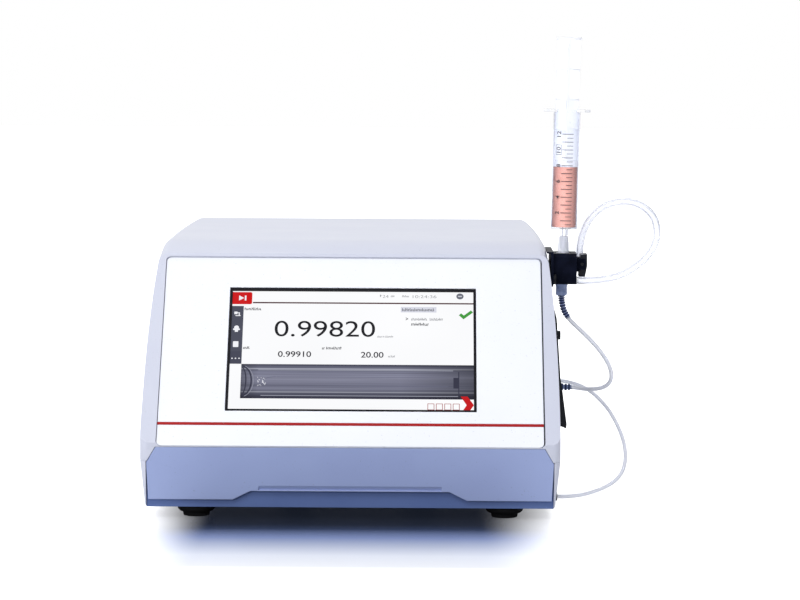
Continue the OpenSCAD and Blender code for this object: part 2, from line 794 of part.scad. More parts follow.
module display_board() {
    w = glass_w - 14;
    h = glass_h - 14;
    color([0.1, 0.35, 0.2]) on_panel() translate([0, screen_v, board_face - board_t]) {
        translate([-w / 2, -h / 2, 0]) cube([w, h, board_t]);
        translate([-40, -20, -1.8]) cube([16, 16, 1.9]);
        translate([10, -10, -1.4]) cube([12, 20, 1.5]);
        translate([-20, h / 2 - 8, -2.4]) cube([40, 6, 2.5]);
        translate([40, -30, -2]) cube([14, 10, 2.1]);
    }
}

// ---------- Filling adapter ----------

// Places of the screws of the mounting plate
module adapter_screw_places() {
    for (y = [block_front - 2.6, block_back + 11.6])
        translate([plate_x + plate_t, y, adapter_low + 4]) children();
}

module adapter_plate() {
    y0 = block_front - 6;
    y1 = block_back + 15;
    top = adapter_top + 1.6;
    color([0.05, 0.06, 0.06]) difference() {
        union() {
            box([plate_x, y0, adapter_low - 1], [plate_x + plate_t, y1, top]);
            box([side_x(top, adapter_y) + seat, y0, top - 1], [plate_x + 0.1, y1, top]);
        }
        for (s = [-1, 1])
            rod_x([plate_x - cut, adapter_y, cell_z + s * leg_gap / 2], tube_d + 0.4, 10);
        rod_x([plate_x - cut, return_y, air_z], air_d + 0.4, 10);
        adapter_screw_places() rod_x([-8, 0, 0], screw_d + 0.1, 12);
    }
}

module adapter_block() {
    color([0.07, 0.08, 0.09]) difference() {
        union() {
            translate([block_x, 0, 0]) rotate([90, 0, 90]) linear_extrude(block_w) polygon([
                [block_front, adapter_top - 2], [block_front, adapter_low + 8],
                [block_front + 1.2, adapter_low], [block_back, adapter_low],
                [block_back, adapter_top], [block_front + 3, adapter_top]
            ]);
            for (y = [lever_y0 - seat - ear_t, lever_y0 + lever_w + seat])
                box([block_end - 0.5, y, lever_z - 3.5], [lever_x + 2.2, y + ear_t, lever_z + 3.5]);
            box([block_x, block_back - 0.5, return_z - 8], [return_x + 4, return_y + 4.2, return_z]);
        }
        on_inlet() translate([0, 0, -1.4]) cylinder(d = cone_d + 3.4, h = 10);
        on_inlet() translate([0, 0, -7]) cylinder(d = 5 + 2 * run_fit, h = 10);
        for (s = [-1, 1])
            rod_x([block_x - cut, adapter_y, cell_z + s * leg_gap / 2], tube_d + 2 * run_fit,
                inlet_x + cut + 1);
        rod_x([block_end - 5.9, outlet_y, outlet_z], 3 + 2 * run_fit, 8);
        rod_z([syringe_x - 0.8, adapter_y, adapter_low - cut], 4.6 + 2 * run_fit, 2 + cut);
        rod_y([lever_x, lever_y0 - 3, lever_z], latch_pin_d + 0.04, lever_w + 6);
        rod_z([return_x, return_y, return_z - 5], 3 + 2 * run_fit, 8);
        rod_x([block_x - cut, return_y, air_z - 1], 1.8, return_x - block_x + cut);
    }
}

module adapter_screws() {
    color([0.2, 0.2, 0.22]) adapter_screw_places() rotate([0, 90, 0]) screw(plate_t + hood_wall + 3);
}

module latch_lever() {
    h = lever_z;
    color([0.09, 0.1, 0.13]) translate([0, lever_y0 + lever_w, 0]) difference() {
        rotate([90, 0, 0]) linear_extrude(lever_w) polygon([
            [lever_x - 1.1, h + 5.9], [lever_x + 3.2, h + 6.5], [lever_x + 3.3, h - 0.9],
            [lever_x + 2.1, h - 7.5], [lever_x + 1.3, h - 8.9], [lever_x - 2.1, h - 8.1],
            [lever_x - 1.6, h - 3], [lever_x - 1.6, h + 1.5]
        ]);
        rod_y([lever_x, -lever_w - cut, h], latch_pin_d + 2 * run_fit, lever_w + 2 * cut);
        for (i = [0 : 3])
            box([lever_x + 2.7, -lever_w + 1.5, h - 5.5 + 2.4 * i], [lever_x + 6, -1.5, h - 4.7 + 2.4 * i]);
    }
}

module latch_pin() {
    color([0.65, 0.65, 0.67]) rod_y([lever_x, lever_y0 - 1.6, lever_z], latch_pin_d, lever_w + 3.2);
}

module luer_inlet() {
    foot = -1.3;
    color([0.86, 0.88, 0.93]) on_inlet() rotate_extrude() polygon([
        [1, -6.8], [2.5, -6.8], [2.5, foot], [cone_d / 2 + 1.2, foot], [cone_d / 2 + 1.2, foot + 1],
        [cone_d / 2, foot + 1.3], [cone_d / 2 - 0.35, cone_h - 3.4], [cone_d / 2 - 0.6, cone_h - 3],
        [cone_d / 2 - 0.8, cone_h], [2.16, cone_h], [1.9, 2.4], [1, 2.4]
    ]);
}

module outlet_nipple() {
    color([0.8, 0.82, 0.86]) difference() {
        union() {
            rod_x([block_end - 5.7, outlet_y, outlet_z], 3, 6);
            rod_x([block_end + 0.05, outlet_y, outlet_z], hose_d, 1.2);
        }
        rod_x([block_end - 7, outlet_y, outlet_z], 1.6, 10);
    }
}

module return_nipple() {
    color([0.8, 0.82, 0.86]) difference() {
        union() {
            rod_z([return_x, return_y, return_z - 4.9], 3, 5.2);
            rod_z([return_x, return_y, return_z + 0.05], hose_d + 1.4, 1.4);
        }
        rod_z([return_x, return_y, return_z - 6], 1.6, 9);
    }
}

module outlet_hose() {
    color([0.93, 0.94, 0.97]) tube_along(drawn(HOSE, hose_from, hose_to), hose_d, hose_d, 10);
}

// ---------- Syringe ----------

module syringe_barrel() {
    bore_r = barrel_bore / 2;
    color([0.88, 0.9, 0.94]) on_inlet() difference() {
        union() {
            translate([0, 0, barrel_lift]) cylinder(d = barrel_d, h = barrel_l);
            translate([0, 0, cone_h + 0.6]) cylinder(d = 5.4, h = barrel_lift - cone_h);
            translate([0, 0, tip_end])
                cylinder(r1 = 1.86, r2 = 2.1, h = cone_h + 0.7 - tip_end);
            intersection() {
                translate([0, 0, barrel_top - 1.6]) cylinder(d = flange_w, h = 1.6);
                translate([-far, -barrel_d / 2 - 1, 0]) cube([2 * far, barrel_d + 2, far]);
            }
        }
        translate([0, 0, sample_low]) cylinder(r = bore_r, h = barrel_l);
        translate([0, 0, tip_end - cut]) cylinder(d = 2, h = barrel_lift);
    }
}

module syringe_plunger() {
    rod_w = barrel_bore - 1;
    rod_low = sample_high + piston_h;
    disc_low = sample_high + plunger_l - 1.6;
    color([0.95, 0.96, 0.97]) on_inlet() {
        translate([0, 0, sample_high]) cylinder(r = barrel_bore / 2 - run_fit, h = piston_h);
        for (a = [0, 90])
            rotate([0, 0, a]) translate([-rod_w / 2, -0.7, rod_low - 0.1])
                cube([rod_w, 1.4, disc_low - rod_low + 0.2]);
        for (k = [1 : 3])
            translate([0, 0, rod_low + (disc_low - rod_low) * k / 4]) cylinder(d = rod_w, h = 1);
        translate([0, 0, disc_low]) cylinder(d = barrel_bore + 0.6, h = 1.6);
    }
}

module sample_liquid() {
    color([0.93, 0.6, 0.5]) on_inlet() translate([0, 0, sample_low + 0.03])
        cylinder(r = barrel_bore / 2 - 2 * run_fit, h = sample_high - sample_low - 0.06);
}

// ---------- Leads ----------

module sensor_plug() {
    x = syringe_x - 0.8;
    color([0.4, 0.47, 0.68]) {
        rod_z([x, adapter_y, adapter_low - 7.9], 7.7, 7.7);
        rod_z([x, adapter_y, adapter_low - 0.3], 4.6, 2);
    }
}

module plug_relief() {
    color([0.18, 0.22, 0.42]) tube_along(drawn(PLUG_BEND, plug_from, plug_to), 4.4, 3.6, 10);
}

module sensor_lead() {
    color([0.87, 0.88, 0.94]) tube_along(drawn(LEAD, plug_to, socket_to), lead_d, lead_d, 8);
}

module socket_relief() {
    color([0.18, 0.22, 0.42]) tube_along(drawn(SOCKET_BEND, socket_from, socket_to), 5.2, 4, 10);
}

module sensor_socket() {
    x = side_x(port_z, port_y);
    color([0.16, 0.17, 0.2]) {
        rod_x([x + 0.1, port_y, port_z], 9.5, port_flange_t - 0.1);
        rod_x([x - hood_wall - 7, port_y, port_z], 7, hood_wall + 7.2);
        rod_x([x - hood_wall - 2.2, port_y, port_z], 10, 2);
    }
}

module aux_gland() {
    x = side_x(aux_port_z, aux_port_y);
    color([0.16, 0.17, 0.2]) {
        rod_x([x + 0.1, aux_port_y, aux_port_z], 6.4, port_flange_t - 0.1);
        rod_x([x - hood_wall - 3, aux_port_y, aux_port_z], 4, hood_wall + 3.2);
        rod_x([x - hood_wall - 2.2, aux_port_y, aux_port_z], 6.4, 2);
    }
}

module aux_lead() {
    color([0.88, 0.89, 0.94]) tube_along(drawn(AUX, aux_from, aux_to), aux_d, aux_d, 8);
}

module base_grommet() {
    color([0.16, 0.17, 0.2]) {
        rod_x([grommet_x, grommet_y, grommet_z], grommet_d, 1.4);
        rod_x([grommet_x - base_wall - 2, grommet_y, grommet_z], aux_d + 0.4, base_wall + 2.1);
    }
}

// ---------- Drip deflector ----------

module deflector_screw_places() {
    for (y = [deflector_y + 12, deflector_y + deflector_l - 12])
        translate([side_x(deflector_screw_z, y) + deflector_t + seat, y, deflector_screw_z]) children();
}

// Profile of the deflector's outer face over its height, t inside it
function deflector_face(t) = [
    [side_x(122.8, 0) + 0.5, 122.8 - t], [side_x(118, 0) + 1.4 - t, 118],
    [side_x(97.4, 0) + 1.9 - t, 97.4], [side_x(80.1, 0) + 2.6 - t, 80.1],
    [side_x(72.9, 0) + 3.7 - t, 72.9], [side_x(51.1, 0) + deflector_out - t, 51.1 - t / 3],
    [side_x(48.4, 0) + deflector_out - 0.3 - t, 48.4 - t]
];

module spill_deflector() {
    wall = [for (z = [50.8, 68.4, 86.4, 104.4, 122.4]) [side_x(z, 0) + seat, z]];
    color([0.08, 0.09, 0.11]) translate([0, deflector_y + deflector_l, 0]) difference() {
        rotate([90, 0, 0]) linear_extrude(deflector_l)
            polygon(concat(deflector_face(0), wall));
        translate([0, -deflector_t, 0]) rotate([90, 0, 0])
            linear_extrude(deflector_l - 2 * deflector_t) polygon([
                [side_x(50, 0) + seat + 0.9, 42], [side_x(50, 0) + deflector_out - deflector_t, 42],
                [side_x(50, 0) + deflector_out - deflector_t, 51.1], [side_x(72, 0) + 2.2, 72.9],
                [side_x(72, 0) + seat + 0.9, 76.4]
            ]);
        translate([0, -deflector_y - deflector_l, 0])
            deflector_screw_places() rod_x([-8, 0, 0], screw_d + 0.2, 16);
    }
}

module deflector_screws() {
    color([0.3, 0.3, 0.33]) deflector_screw_places() rotate([0, 90, 0]) screw(hood_wall + deflector_t + 3);
}

// ---------- Measuring cell ----------

module u_tube() {
    x0 = block_x + inlet_x - leg_l;
    end = block_x + inlet_x - 3;
    module bent(d) {
        for (s = [-1, 1])
            rod_x([x0, adapter_y, cell_z + s * leg_gap / 2], d, end - x0);
        translate([x0, adapter_y, cell_z]) rotate([90, -90, 0])
            rotate_extrude(angle = 180) translate([leg_gap / 2, 0]) circle(d = d);
    }
    color([0.8, 0.86, 0.9]) difference() {
        bent(tube_d);
        bent(tube_bore);
    }
}

module cell_jacket() {
    x0 = thermo_left - 15;
    color([0.75, 0.83, 0.88]) difference() {
        rod_x([x0, adapter_y, cell_z], jacket_d, cell_right - x0);
        rod_x([x0 + 2, adapter_y, cell_z], jacket_d - 2 * jacket_wall, cell_right - x0 - 5);
        for (s = [-1, 1])
            rod_x([cell_right - 6, adapter_y, cell_z + s * leg_gap / 2], tube_d + 0.1, 10);
    }
}

module thermostat_block() {
    y0 = adapter_y - thermo_d / 2;
    color([0.72, 0.45, 0.3]) difference() {
        box([thermo_left, y0, thermo_low], [thermo_right, y0 + thermo_d, thermo_top]);
        rod_x([thermo_left - cut, adapter_y, cell_z], jacket_d + 0.2, thermo_l + 2 * cut);
        rod_y([window_x, y0 - cut, cell_z], 7, thermo_d / 2);
        rod_y([window_x, adapter_y, cell_z], 10, thermo_d);
    }
}

module peltier_modules() {
    color([0.92, 0.92, 0.9]) for (x = [thermo_left + 24, thermo_right - 24])
        translate([x - peltier_w / 2, adapter_y - peltier_w / 2, peltier_low])
            cube([peltier_w, peltier_w, peltier_t]);
}

module heatsink() {
    x0 = thermo_left - sink_over;
    l = thermo_l + 2 * sink_over;
    pitch = (l - 4) / (fin_n - 1);
    color([0.75, 0.76, 0.78]) translate([x0, adapter_y - 20, 0]) {
        translate([0, 0, sink_low]) cube([l, 40, sink_base_t]);
        for (i = [0 : fin_n - 1])
            translate([1 + pitch * i, 0, sink_low - fin_l]) cube([2, 40, fin_l + 0.1]);
    }
}

module cell_bracket() {
    x0 = thermo_left - sink_over - seat;
    x1 = thermo_right + sink_over + seat;
    y0 = adapter_y - 18;
    color([0.7, 0.72, 0.75]) for (s = [0, 1]) {
        x = s == 0 ? x0 - bracket_t : x1;
        translate([x, y0, floor_z]) cube([bracket_t, 36, peltier_low - floor_z]);
        translate([s == 0 ? x0 - bracket_t : x1 - 16, y0, floor_z])
            cube([16 + bracket_t, 36, bracket_t]);
        translate([s == 0 ? x0 - bracket_t : x1 - 5, y0, sink_low - fin_l - bracket_t - seat])
            cube([5 + bracket_t, 36, bracket_t]);
    }
}

module oscillation_unit() {
    x0 = thermo_left - 14;
    color([0.2, 0.22, 0.26]) difference() {
        box([x0, adapter_y - 11, cell_z - 11], [thermo_left - seat, adapter_y + 11, thermo_top]);
        rod_x([x0 - cut, adapter_y, cell_z], jacket_d + 0.2, 20);
        rod_y([x0 + 7, adapter_y - 12, cell_z - 9.6], 2, 24);
    }
}

module cell_camera() {
    y1 = adapter_y - thermo_d / 2 - 0.1;
    lens_d = 5;
    color([0.15, 0.2, 0.18]) {
        box([window_x - 10, y1 - 5.4, cell_z - 8], [window_x + 10, y1, cell_z + lens_d / 2 + 0.1]);
        rod_y([window_x, y1 - 0.1, cell_z], lens_d, 6);
    }
}

module cell_backlight() {
    y0 = adapter_y + thermo_d / 2 + 0.1;
    color([0.85, 0.85, 0.8]) {
        box([window_x - 9, y0, cell_z - 8], [window_x + 9, y0 + 3, cell_z + 8]);
        rod_y([window_x, y0 - 3, cell_z], 9.4, 3.1);
    }
}

// ---------- Electronics ----------

module mainboard() {
    z = main_z + board_t - 0.05;
    color([0.08, 0.33, 0.2]) {
        box([main_x, main_y, main_z], [main_x + main_w, main_y + main_d, main_z + board_t]);
        box([main_x + 20, main_y + 30, z], [main_x + 55, main_y + 65, z + 2.6]);
        box([main_x + 66, main_y + 30, z], [main_x + 80, main_y + 60, z + 1.6]);
        box([main_x + 20, main_y + 80, z], [main_x + 90, main_y + 87, z + 8]);
        box([main_x + 10, main_y + 6, z], [main_x + 60, main_y + 14, z + 9]);
        for (i = [0 : 3])
            rod_z([main_x + 106 + 9 * i, main_y + 24, z], 7, 12);
    }
}

module standoff_places() {
    for (x = [main_x + 8, main_x + main_w - 8], y = [main_y + 8, main_y + main_d / 2, main_y + main_d - 28])
        translate([x, y, floor_z]) children();
}

module board_standoffs() {
    color([0.78, 0.7, 0.45]) standoff_places() cylinder(d = 6.5, h = main_lift, $fn = 6);
}

module power_supply() {
    p = [psu_x, psu_y, floor_z];
    color([0.78, 0.79, 0.8]) {
        box(p, p + [psu_w, psu_d, 1.2]);
        box(p, p + [1.2, psu_d, psu_h]);
        box(p + [psu_w - 1.2, 0, 0], p + [psu_w, psu_d, psu_h]);
        box(p + [1, 10, 1], p + [psu_w - 1, psu_d - 10, 6]);
        box(p + [12, 40, 5.9], p + [40, 70, psu_h - 2]);
        box(p + [6, 80, 5.9], p + [10, psu_d - 20, psu_h]);
        for (i = [0 : 2])
            translate(p + [52, 30 + 28 * i, 5.9]) cylinder(d = 12, h = 24);
    }
}

module fan_screw_places() {
    for (sx = [-1, 1], sz = [-1, 1])
        translate([fan_pos[0] + sx * (fan_w / 2 - 5), rear_out, fan_pos[1] + sz * (fan_w / 2 - 5)])
            children();
}

module fan_housing() {
    half = fan_w / 2;
    y0 = rear_in - fan_t - 0.1;
    color([0.1, 0.1, 0.11]) {
        difference() {
            box([fan_pos[0] - half, y0, fan_pos[1] - half],
                [fan_pos[0] + half, y0 + fan_t, fan_pos[1] + half]);
            rod_y([fan_pos[0], y0 - cut, fan_pos[1]], fan_w - 3, fan_t + 2 * cut);
            fan_screw_places() rod_y([0, -far / 2, 0], screw_d, far);
        }
        translate([fan_pos[0], y0, fan_pos[1]]) {
            difference() {
                rod_y([0, 0, 0], 24, 3);
                rod_y([0, -cut, 0], 3 + 2 * run_fit, 5);
            }
            for (a = [0, 120, 240])
                rotate([0, a, 0]) translate([11, 0, -1.5]) cube([half - 12, 3, 3]);
        }
    }
}

module fan_rotor() {
    y0 = rear_in - fan_t - 0.1;
    color([0.16, 0.16, 0.18]) translate([fan_pos[0], y0, fan_pos[1]]) {
        rod_y([0, 0.6, 0], 3, 4);
        rod_y([0, 3.6, 0], 25, fan_t - 5.2);
        for (a = [0 : 360 / 7 : 359])
            rotate([0, a, 0]) translate([11.5, 12, 0]) rotate([38, 0, 0])
                translate([0, -8, -0.8]) cube([fan_w / 2 - 14, 16, 1.6]);
    }
}

module fan_screws() {
    color([0.2, 0.2, 0.22]) fan_screw_places() rotate([-90, 0, 0]) screw(rear_t + 8);
}

// ---------- Mains inlet and ports ----------

module mains_inlet() {
    x = inlet_pos[0];
    z = inlet_pos[1];
    flange_t = 1.8;
    face = rear_out + flange_t;
    color([0.09, 0.09, 0.1]) {
        difference() {
            union() {
                box([x - 15, rear_out, z - 35], [x + 15, face, z + 15]);
                box([x - inlet_size[0] / 2, rear_in - inlet_size[1], z - 32.8],
                    [x + inlet_size[0] / 2, rear_out + 0.1, z + 13.2]);
            }
            box([x - socket_size[0] / 2, face - socket_size[1], z - socket_size[2] / 2],
                [x + socket_size[0] / 2, face + cut, z + socket_size[2] / 2]);
            box([x - drawer_size[0] / 2 - seat, face - drawer_size[1] - 1.5,
                    z - drawer_drop - drawer_size[2] - seat],
                [x + drawer_size[0] / 2 + seat, face + cut, z - drawer_drop + seat]);
        }
    }
    color([0.8, 0.8, 0.78]) for (p = [[-7, -2.6], [7, -2.6], [0, 2.6]])
        box([x + p[0] - 2, face - socket_size[1] - 0.1, z + p[1] - 1],
            [x + p[0] + 2, face - 4, z + p[1] + 1]);
}

// Lowest corner of the fuse drawer's body
function drawer_corner() = [
    inlet_pos[0] - drawer_size[0] / 2,
    rear_out + 1.8 + seat - drawer_size[1],
    inlet_pos[1] - drawer_drop - drawer_size[2]
];

module fuse_places() {
    for (y = [3.4, 10])
        translate(drawer_corner() + [0.7, y, drawer_size[2] / 2]) children();
}

module fuse_drawer() {
    p = drawer_corner();
    color([0.12, 0.12, 0.13]) difference() {
        union() {
            box(p, p + drawer_size);
            box(p + [-1.4, drawer_size[1] - 0.1, -1], p + [drawer_size[0] + 1.4, drawer_size[1] + 1.6,
                drawer_size[2] + 1]);
        }
        fuse_places() rotate([0, 90, 0]) cylinder(d = fuse_d + 0.2, h = 20);
        fuse_places() translate([0, -fuse_d / 2 - 0.1, 0]) cube([20, fuse_d + 0.2, 8]);
        box(p + [drawer_size[0] / 2 - 4, drawer_size[1] + 0.8, drawer_size[2] / 2 - 1],
            p + [drawer_size[0] / 2 + 4, drawer_size[1] + 3, drawer_size[2] / 2 + 1]);
    }
}

module fuses() {
    color([0.8, 0.82, 0.85]) fuse_places() translate([0.1, 0, 0]) rotate([0, 90, 0])
        cylinder(d = fuse_d, h = 19.8);
}

module switch_housing() {
    x = switch_pos[0];
    z = switch_pos[1];
    color([0.09, 0.09, 0.1]) difference() {
        union() {
            box([x - 8, rear_out, z - 11], [x + 8, rear_out + 1.6, z + 11]);
            box([x - 6.5, rear_in - 13, z - 9.5], [x + 6.5, rear_out + 0.1, z + 9.5]);
        }
        box([x - 5.2, rear_in - 10, z - 8.5], [x + 5.2, rear_out + 3, z + 8.5]);
        rod_x([x - 6.1, rear_out - 2, z], 2 + 2 * run_fit, 12.2);
    }
}

module rocker_switch() {
    color([0.14, 0.14, 0.15]) translate([switch_pos[0], rear_out - 2, switch_pos[1]])
        rotate([-8, 0, 0]) {
            translate([-5, 0, 0]) rotate([90, 0, 90]) linear_extrude(10) polygon([
                [-4, -3], [0, -7.6], [4.6, -7.6], [3.4, 0], [4.6, 7.6], [0, 7.6], [-4, 3]
            ]);
            rod_x([-6, 0, 0], 2, 12);
        }
}

// Centres and sizes of the openings of the data ports, from the left
PORTS = [
    [main_x + 20, 7.6, 13.4, 5.6], [main_x + 40, 7.6, 13.4, 5.6],
    [main_x + 62, 8.2, 12, 9.2], [main_x + 92, 7.6, 17, 8.4]
];

module port_cutouts() {
    for (p = PORTS)
        box([p[0] - p[2] / 2 - 1.4, rear_in - cut, main_z + board_t + p[1] - p[3] / 2 - 1.4],
            [p[0] + p[2] / 2 + 1.4, rear_out + cut, main_z + board_t + p[1] + p[3] / 2 + 1.4]);
}

module data_ports() {
    z0 = main_z + board_t + 0.05;
    depth = 16;
    y1 = rear_out + 0.6;
    color([0.75, 0.76, 0.78]) for (p = PORTS) {
        low = z0 + p[1] - p[3] / 2;
        difference() {
            union() {
                box([p[0] - p[2] / 2 - 1, y1 - depth, low - 1],
                    [p[0] + p[2] / 2 + 1, y1, low + p[3] + 1]);
                box([p[0] - p[2] / 2 - 1, y1 - depth, z0], [p[0] + p[2] / 2 + 1, rear_in - 2, low]);
            }
            box([p[0] - p[2] / 2, y1 - depth + 3, low], [p[0] + p[2] / 2, y1 + cut, low + p[3]]);
        }
    }
    color([0.85, 0.85, 0.85]) for (p = [PORTS[0], PORTS[1]])
        box([p[0] - 5.6, y1 - depth + 2.9, z0 + p[1] + 0.6], [p[0] + 5.6, y1 - 1, z0 + p[1] + 2.2]);
    color([0.2, 0.3, 0.6]) box([PORTS[3][0] - 7.6, y1 - depth + 2.9, z0 + PORTS[3][1] - 3.6],
        [PORTS[3][0] + 7.6, y1 - 0.6, z0 + PORTS[3][1] + 3.6]);
}

// ---------- Air pump ----------

module air_pump() {
    x = pump_pos[0];
    y = pump_pos[1];
    head = 22;
    color([0.3, 0.32, 0.36]) difference() {
        union() {
            rod_y([x, y + head - 0.1, pump_z], pump_d, pump_l);
            box([x - 18, y, floor_z], [x + 14, y + head, pump_z + 12]);
            box([x + 13.9, y + 8, pump_z - 6], [x + 30, y + head, pump_z + 6]);
            box([x - 12, y + head, floor_z], [x + 12, y + head + pump_l - 4, pump_z - 8]);
            rod_x([x + 29.9, y + 15, pump_z + 1.5], air_d, 3.9);
        }
        rod_y([x, y + 3, pump_z], 22, head + pump_l - 6);
        rod_y([x, y - cut, pump_z], 3 + 2 * run_fit, far / 4);
    }
}

module pump_rotor() {
    x = pump_pos[0];
    y = pump_pos[1];
    color([0.6, 0.55, 0.4]) {
        rod_y([x, y + 0.5, pump_z], 3, pump_l + 22);
        rod_y([x + 2, y + 6, pump_z], 12, 8);
        rod_y([x, y + 22, pump_z], 20, pump_l - 8);
    }
}

module air_tube() {
    color([0.9, 0.92, 0.95]) tube_along(drawn(AIR, air_from, air_to), air_d, air_d, 8);
}

// ---------- Whole object ----------

// Middle of the object's bounding box, which the origin is set under
mid_x = (lever_x + 3.3 - body_w / 2) / 2;
mid_y = (body_d + 1.8) / 2;

module placed() {
    translate([-mid_x, -mid_y, 0]) children();
}

placed() base_tray();
placed() hood();
placed() front_skirt();
placed() faceplate();
placed() accent_stripe();
placed() front_frame();
placed() rear_panel();
placed() feet();
placed() foot_screws();
placed() housing_screws();
placed() display_bezel();
placed() touch_glass();
placed() display_module();
placed() display_board();
placed() adapter_plate();
placed() adapter_block();
placed() adapter_screws();
placed() latch_lever();
placed() latch_pin();
placed() luer_inlet();
placed() outlet_nipple();
placed() return_nipple();
placed() outlet_hose();
placed() syringe_barrel();
placed() syringe_plunger();
placed() sample_liquid();
placed() sensor_plug();
placed() plug_relief();
placed() sensor_lead();
placed() socket_relief();
placed() sensor_socket();
placed() aux_gland();
placed() aux_lead();
placed() base_grommet();
placed() spill_deflector();
placed() deflector_screws();
placed() u_tube();
placed() cell_jacket();
placed() thermostat_block();
placed() peltier_modules();
placed() heatsink();
placed() cell_bracket();
placed() oscillation_unit();
placed() cell_camera();
placed() cell_backlight();
placed() mainboard();
placed() board_standoffs();
placed() power_supply();
placed() fan_housing();
placed() fan_rotor();
placed() fan_screws();
placed() mains_inlet();
placed() fuse_drawer();
placed() fuses();
placed() switch_housing();
placed() rocker_switch();
placed() data_ports();
placed() air_pump();
placed() pump_rotor();
placed() air_tube();
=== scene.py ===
"""Looks of a benchtop density meter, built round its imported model.

Everything is in metres with Z up. Shapes are written in the housing's own millimetres, with X from its
middle line, Y from its front and Z from the bench, and at() carries them to the shared frame.
"""
import json
import math
import random

import bpy
from mathutils import Matrix, Vector


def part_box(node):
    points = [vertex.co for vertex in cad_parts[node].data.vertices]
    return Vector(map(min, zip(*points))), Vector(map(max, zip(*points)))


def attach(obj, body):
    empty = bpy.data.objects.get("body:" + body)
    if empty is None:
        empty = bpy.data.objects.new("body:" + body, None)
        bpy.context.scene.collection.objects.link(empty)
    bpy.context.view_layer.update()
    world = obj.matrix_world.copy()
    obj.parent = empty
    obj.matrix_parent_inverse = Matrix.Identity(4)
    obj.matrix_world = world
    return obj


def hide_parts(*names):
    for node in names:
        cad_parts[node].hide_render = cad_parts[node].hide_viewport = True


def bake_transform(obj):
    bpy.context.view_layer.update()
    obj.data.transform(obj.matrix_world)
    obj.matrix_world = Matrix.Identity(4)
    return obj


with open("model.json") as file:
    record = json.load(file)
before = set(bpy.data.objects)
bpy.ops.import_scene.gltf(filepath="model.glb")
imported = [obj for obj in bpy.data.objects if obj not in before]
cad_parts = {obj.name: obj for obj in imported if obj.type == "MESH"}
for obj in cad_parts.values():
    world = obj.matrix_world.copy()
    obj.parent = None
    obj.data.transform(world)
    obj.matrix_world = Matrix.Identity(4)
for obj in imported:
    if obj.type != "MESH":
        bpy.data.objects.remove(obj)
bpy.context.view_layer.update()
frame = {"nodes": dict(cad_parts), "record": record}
NODES = frame["nodes"]
SLOT_OF_NODE = {part["node"]: part["material_slot"] for part in frame["record"]["subparts"]}

MM = 0.001

# ---------- Sizes of the housing, in millimetres ----------

BODY_W = 257.4
BODY_D = 390.0
TOP_Z = 162.5
TOP_FALL = 2.5
SEAM_Z = 36.0
BASE_Z = 7.0
WALL = 2.5
SIDE_DRAW = 6.6
BASE_DRAW = 3.2
REAR_DRAW = 4.0
FRONT_R = 5.0
REAR_R = 14.0
TOP_R = 6.0
EDGE_R = 10.0
FOOT_EDGE_R = 2.0
SEAM_CHAMFER = 0.35

PANEL_TILT = math.radians(41)
PANEL_Z = 45.5
PANEL_T = 2.0
PANEL_R = 3.0
PANEL_GAP = 0.3
SHADOW_LINE = 0.55
RIM_SIDE = 10.2
RIM_TOP = 2.6
RIM_PROUD = 1.0
CREST_DROP = 6.4
CREST_RUN = 38.0
RIM_V = (TOP_Z - CREST_DROP - PANEL_Z - RIM_PROUD * math.sin(PANEL_TILT)) / math.cos(PANEL_TILT)
PANEL_H = RIM_V - RIM_TOP
PANEL_W = BODY_W - 2 * RIM_SIDE
CREST_EDGE_Y = RIM_V * math.sin(PANEL_TILT) - RIM_PROUD * math.cos(PANEL_TILT)
CREST_Y = CREST_EDGE_Y + CREST_RUN
CREST_R = CREST_RUN ** 2 / (2 * CREST_DROP)
DRAW_Y = BODY_D / 2

SKIRT_TOP = 44.4
SKIRT_BOTTOM = 11.8
SKIRT_T = 2.5
SKIRT_LEAN = math.radians(4.4)
SKIRT_INSET = 4.0
SKIRT_BACK = SKIRT_T + 0.2
HOOD_FRONT_IN = SKIRT_BACK + WALL
BASE_FRONT = SKIRT_T + (SKIRT_TOP - SKIRT_BOTTOM) * math.tan(SKIRT_LEAN) + 0.3

SCREEN_V = PANEL_H - 23.2 - 47
GLASS_FACE = -PANEL_T

REAR_IN = BODY_D - WALL - 0.2 - 1.5
WINDOW_HALF = BODY_W / 2 - 25.2
WINDOW_LOW = SEAM_Z + 6
WINDOW_HIGH = TOP_Z - TOP_FALL - 13

# The adapter on the right side, its syringe and the plug below it
ADAPTER_X = 133.89046
ADAPTER_Y = 118.0
ADAPTER_END = ADAPTER_X + 8.3
INLET_FOOT = (ADAPTER_X, ADAPTER_Y, 156.1)
INLET_LEAN = math.radians(1.1)
BARREL_R = 8.55
BORE_R = 7.95
BARREL_LOW = 15.3
SAMPLE_LOW = 16.5
SAMPLE_HIGH = 55.23
ML_LENGTH = 5.03

hood_low, hood_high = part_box("hood")
MIDDLE_X = (hood_low.x + hood_high.x) / 2
FRONT_Y = hood_high.y - BODY_D * MM


def at(x, y, z):
    """A point of the housing, in millimetres, in the shared frame's metres."""
    return Vector((MIDDLE_X + x * MM, FRONT_Y + y * MM, z * MM))


def on_panel(x, v, w):
    """A point on the sloped front: x across, v up the slope, w outwards."""
    return at(
        x,
        v * math.sin(PANEL_TILT) - w * math.cos(PANEL_TILT),
        PANEL_Z + v * math.cos(PANEL_TILT) + w * math.sin(PANEL_TILT),
    )


def on_skirt(x, v, w):
    """A point on the chin: x across, v up from its upper edge, w outwards."""
    return at(
        x,
        -v * math.sin(SKIRT_LEAN) - w * math.cos(SKIRT_LEAN),
        SKIRT_TOP + v * math.cos(SKIRT_LEAN) - w * math.sin(SKIRT_LEAN),
    )


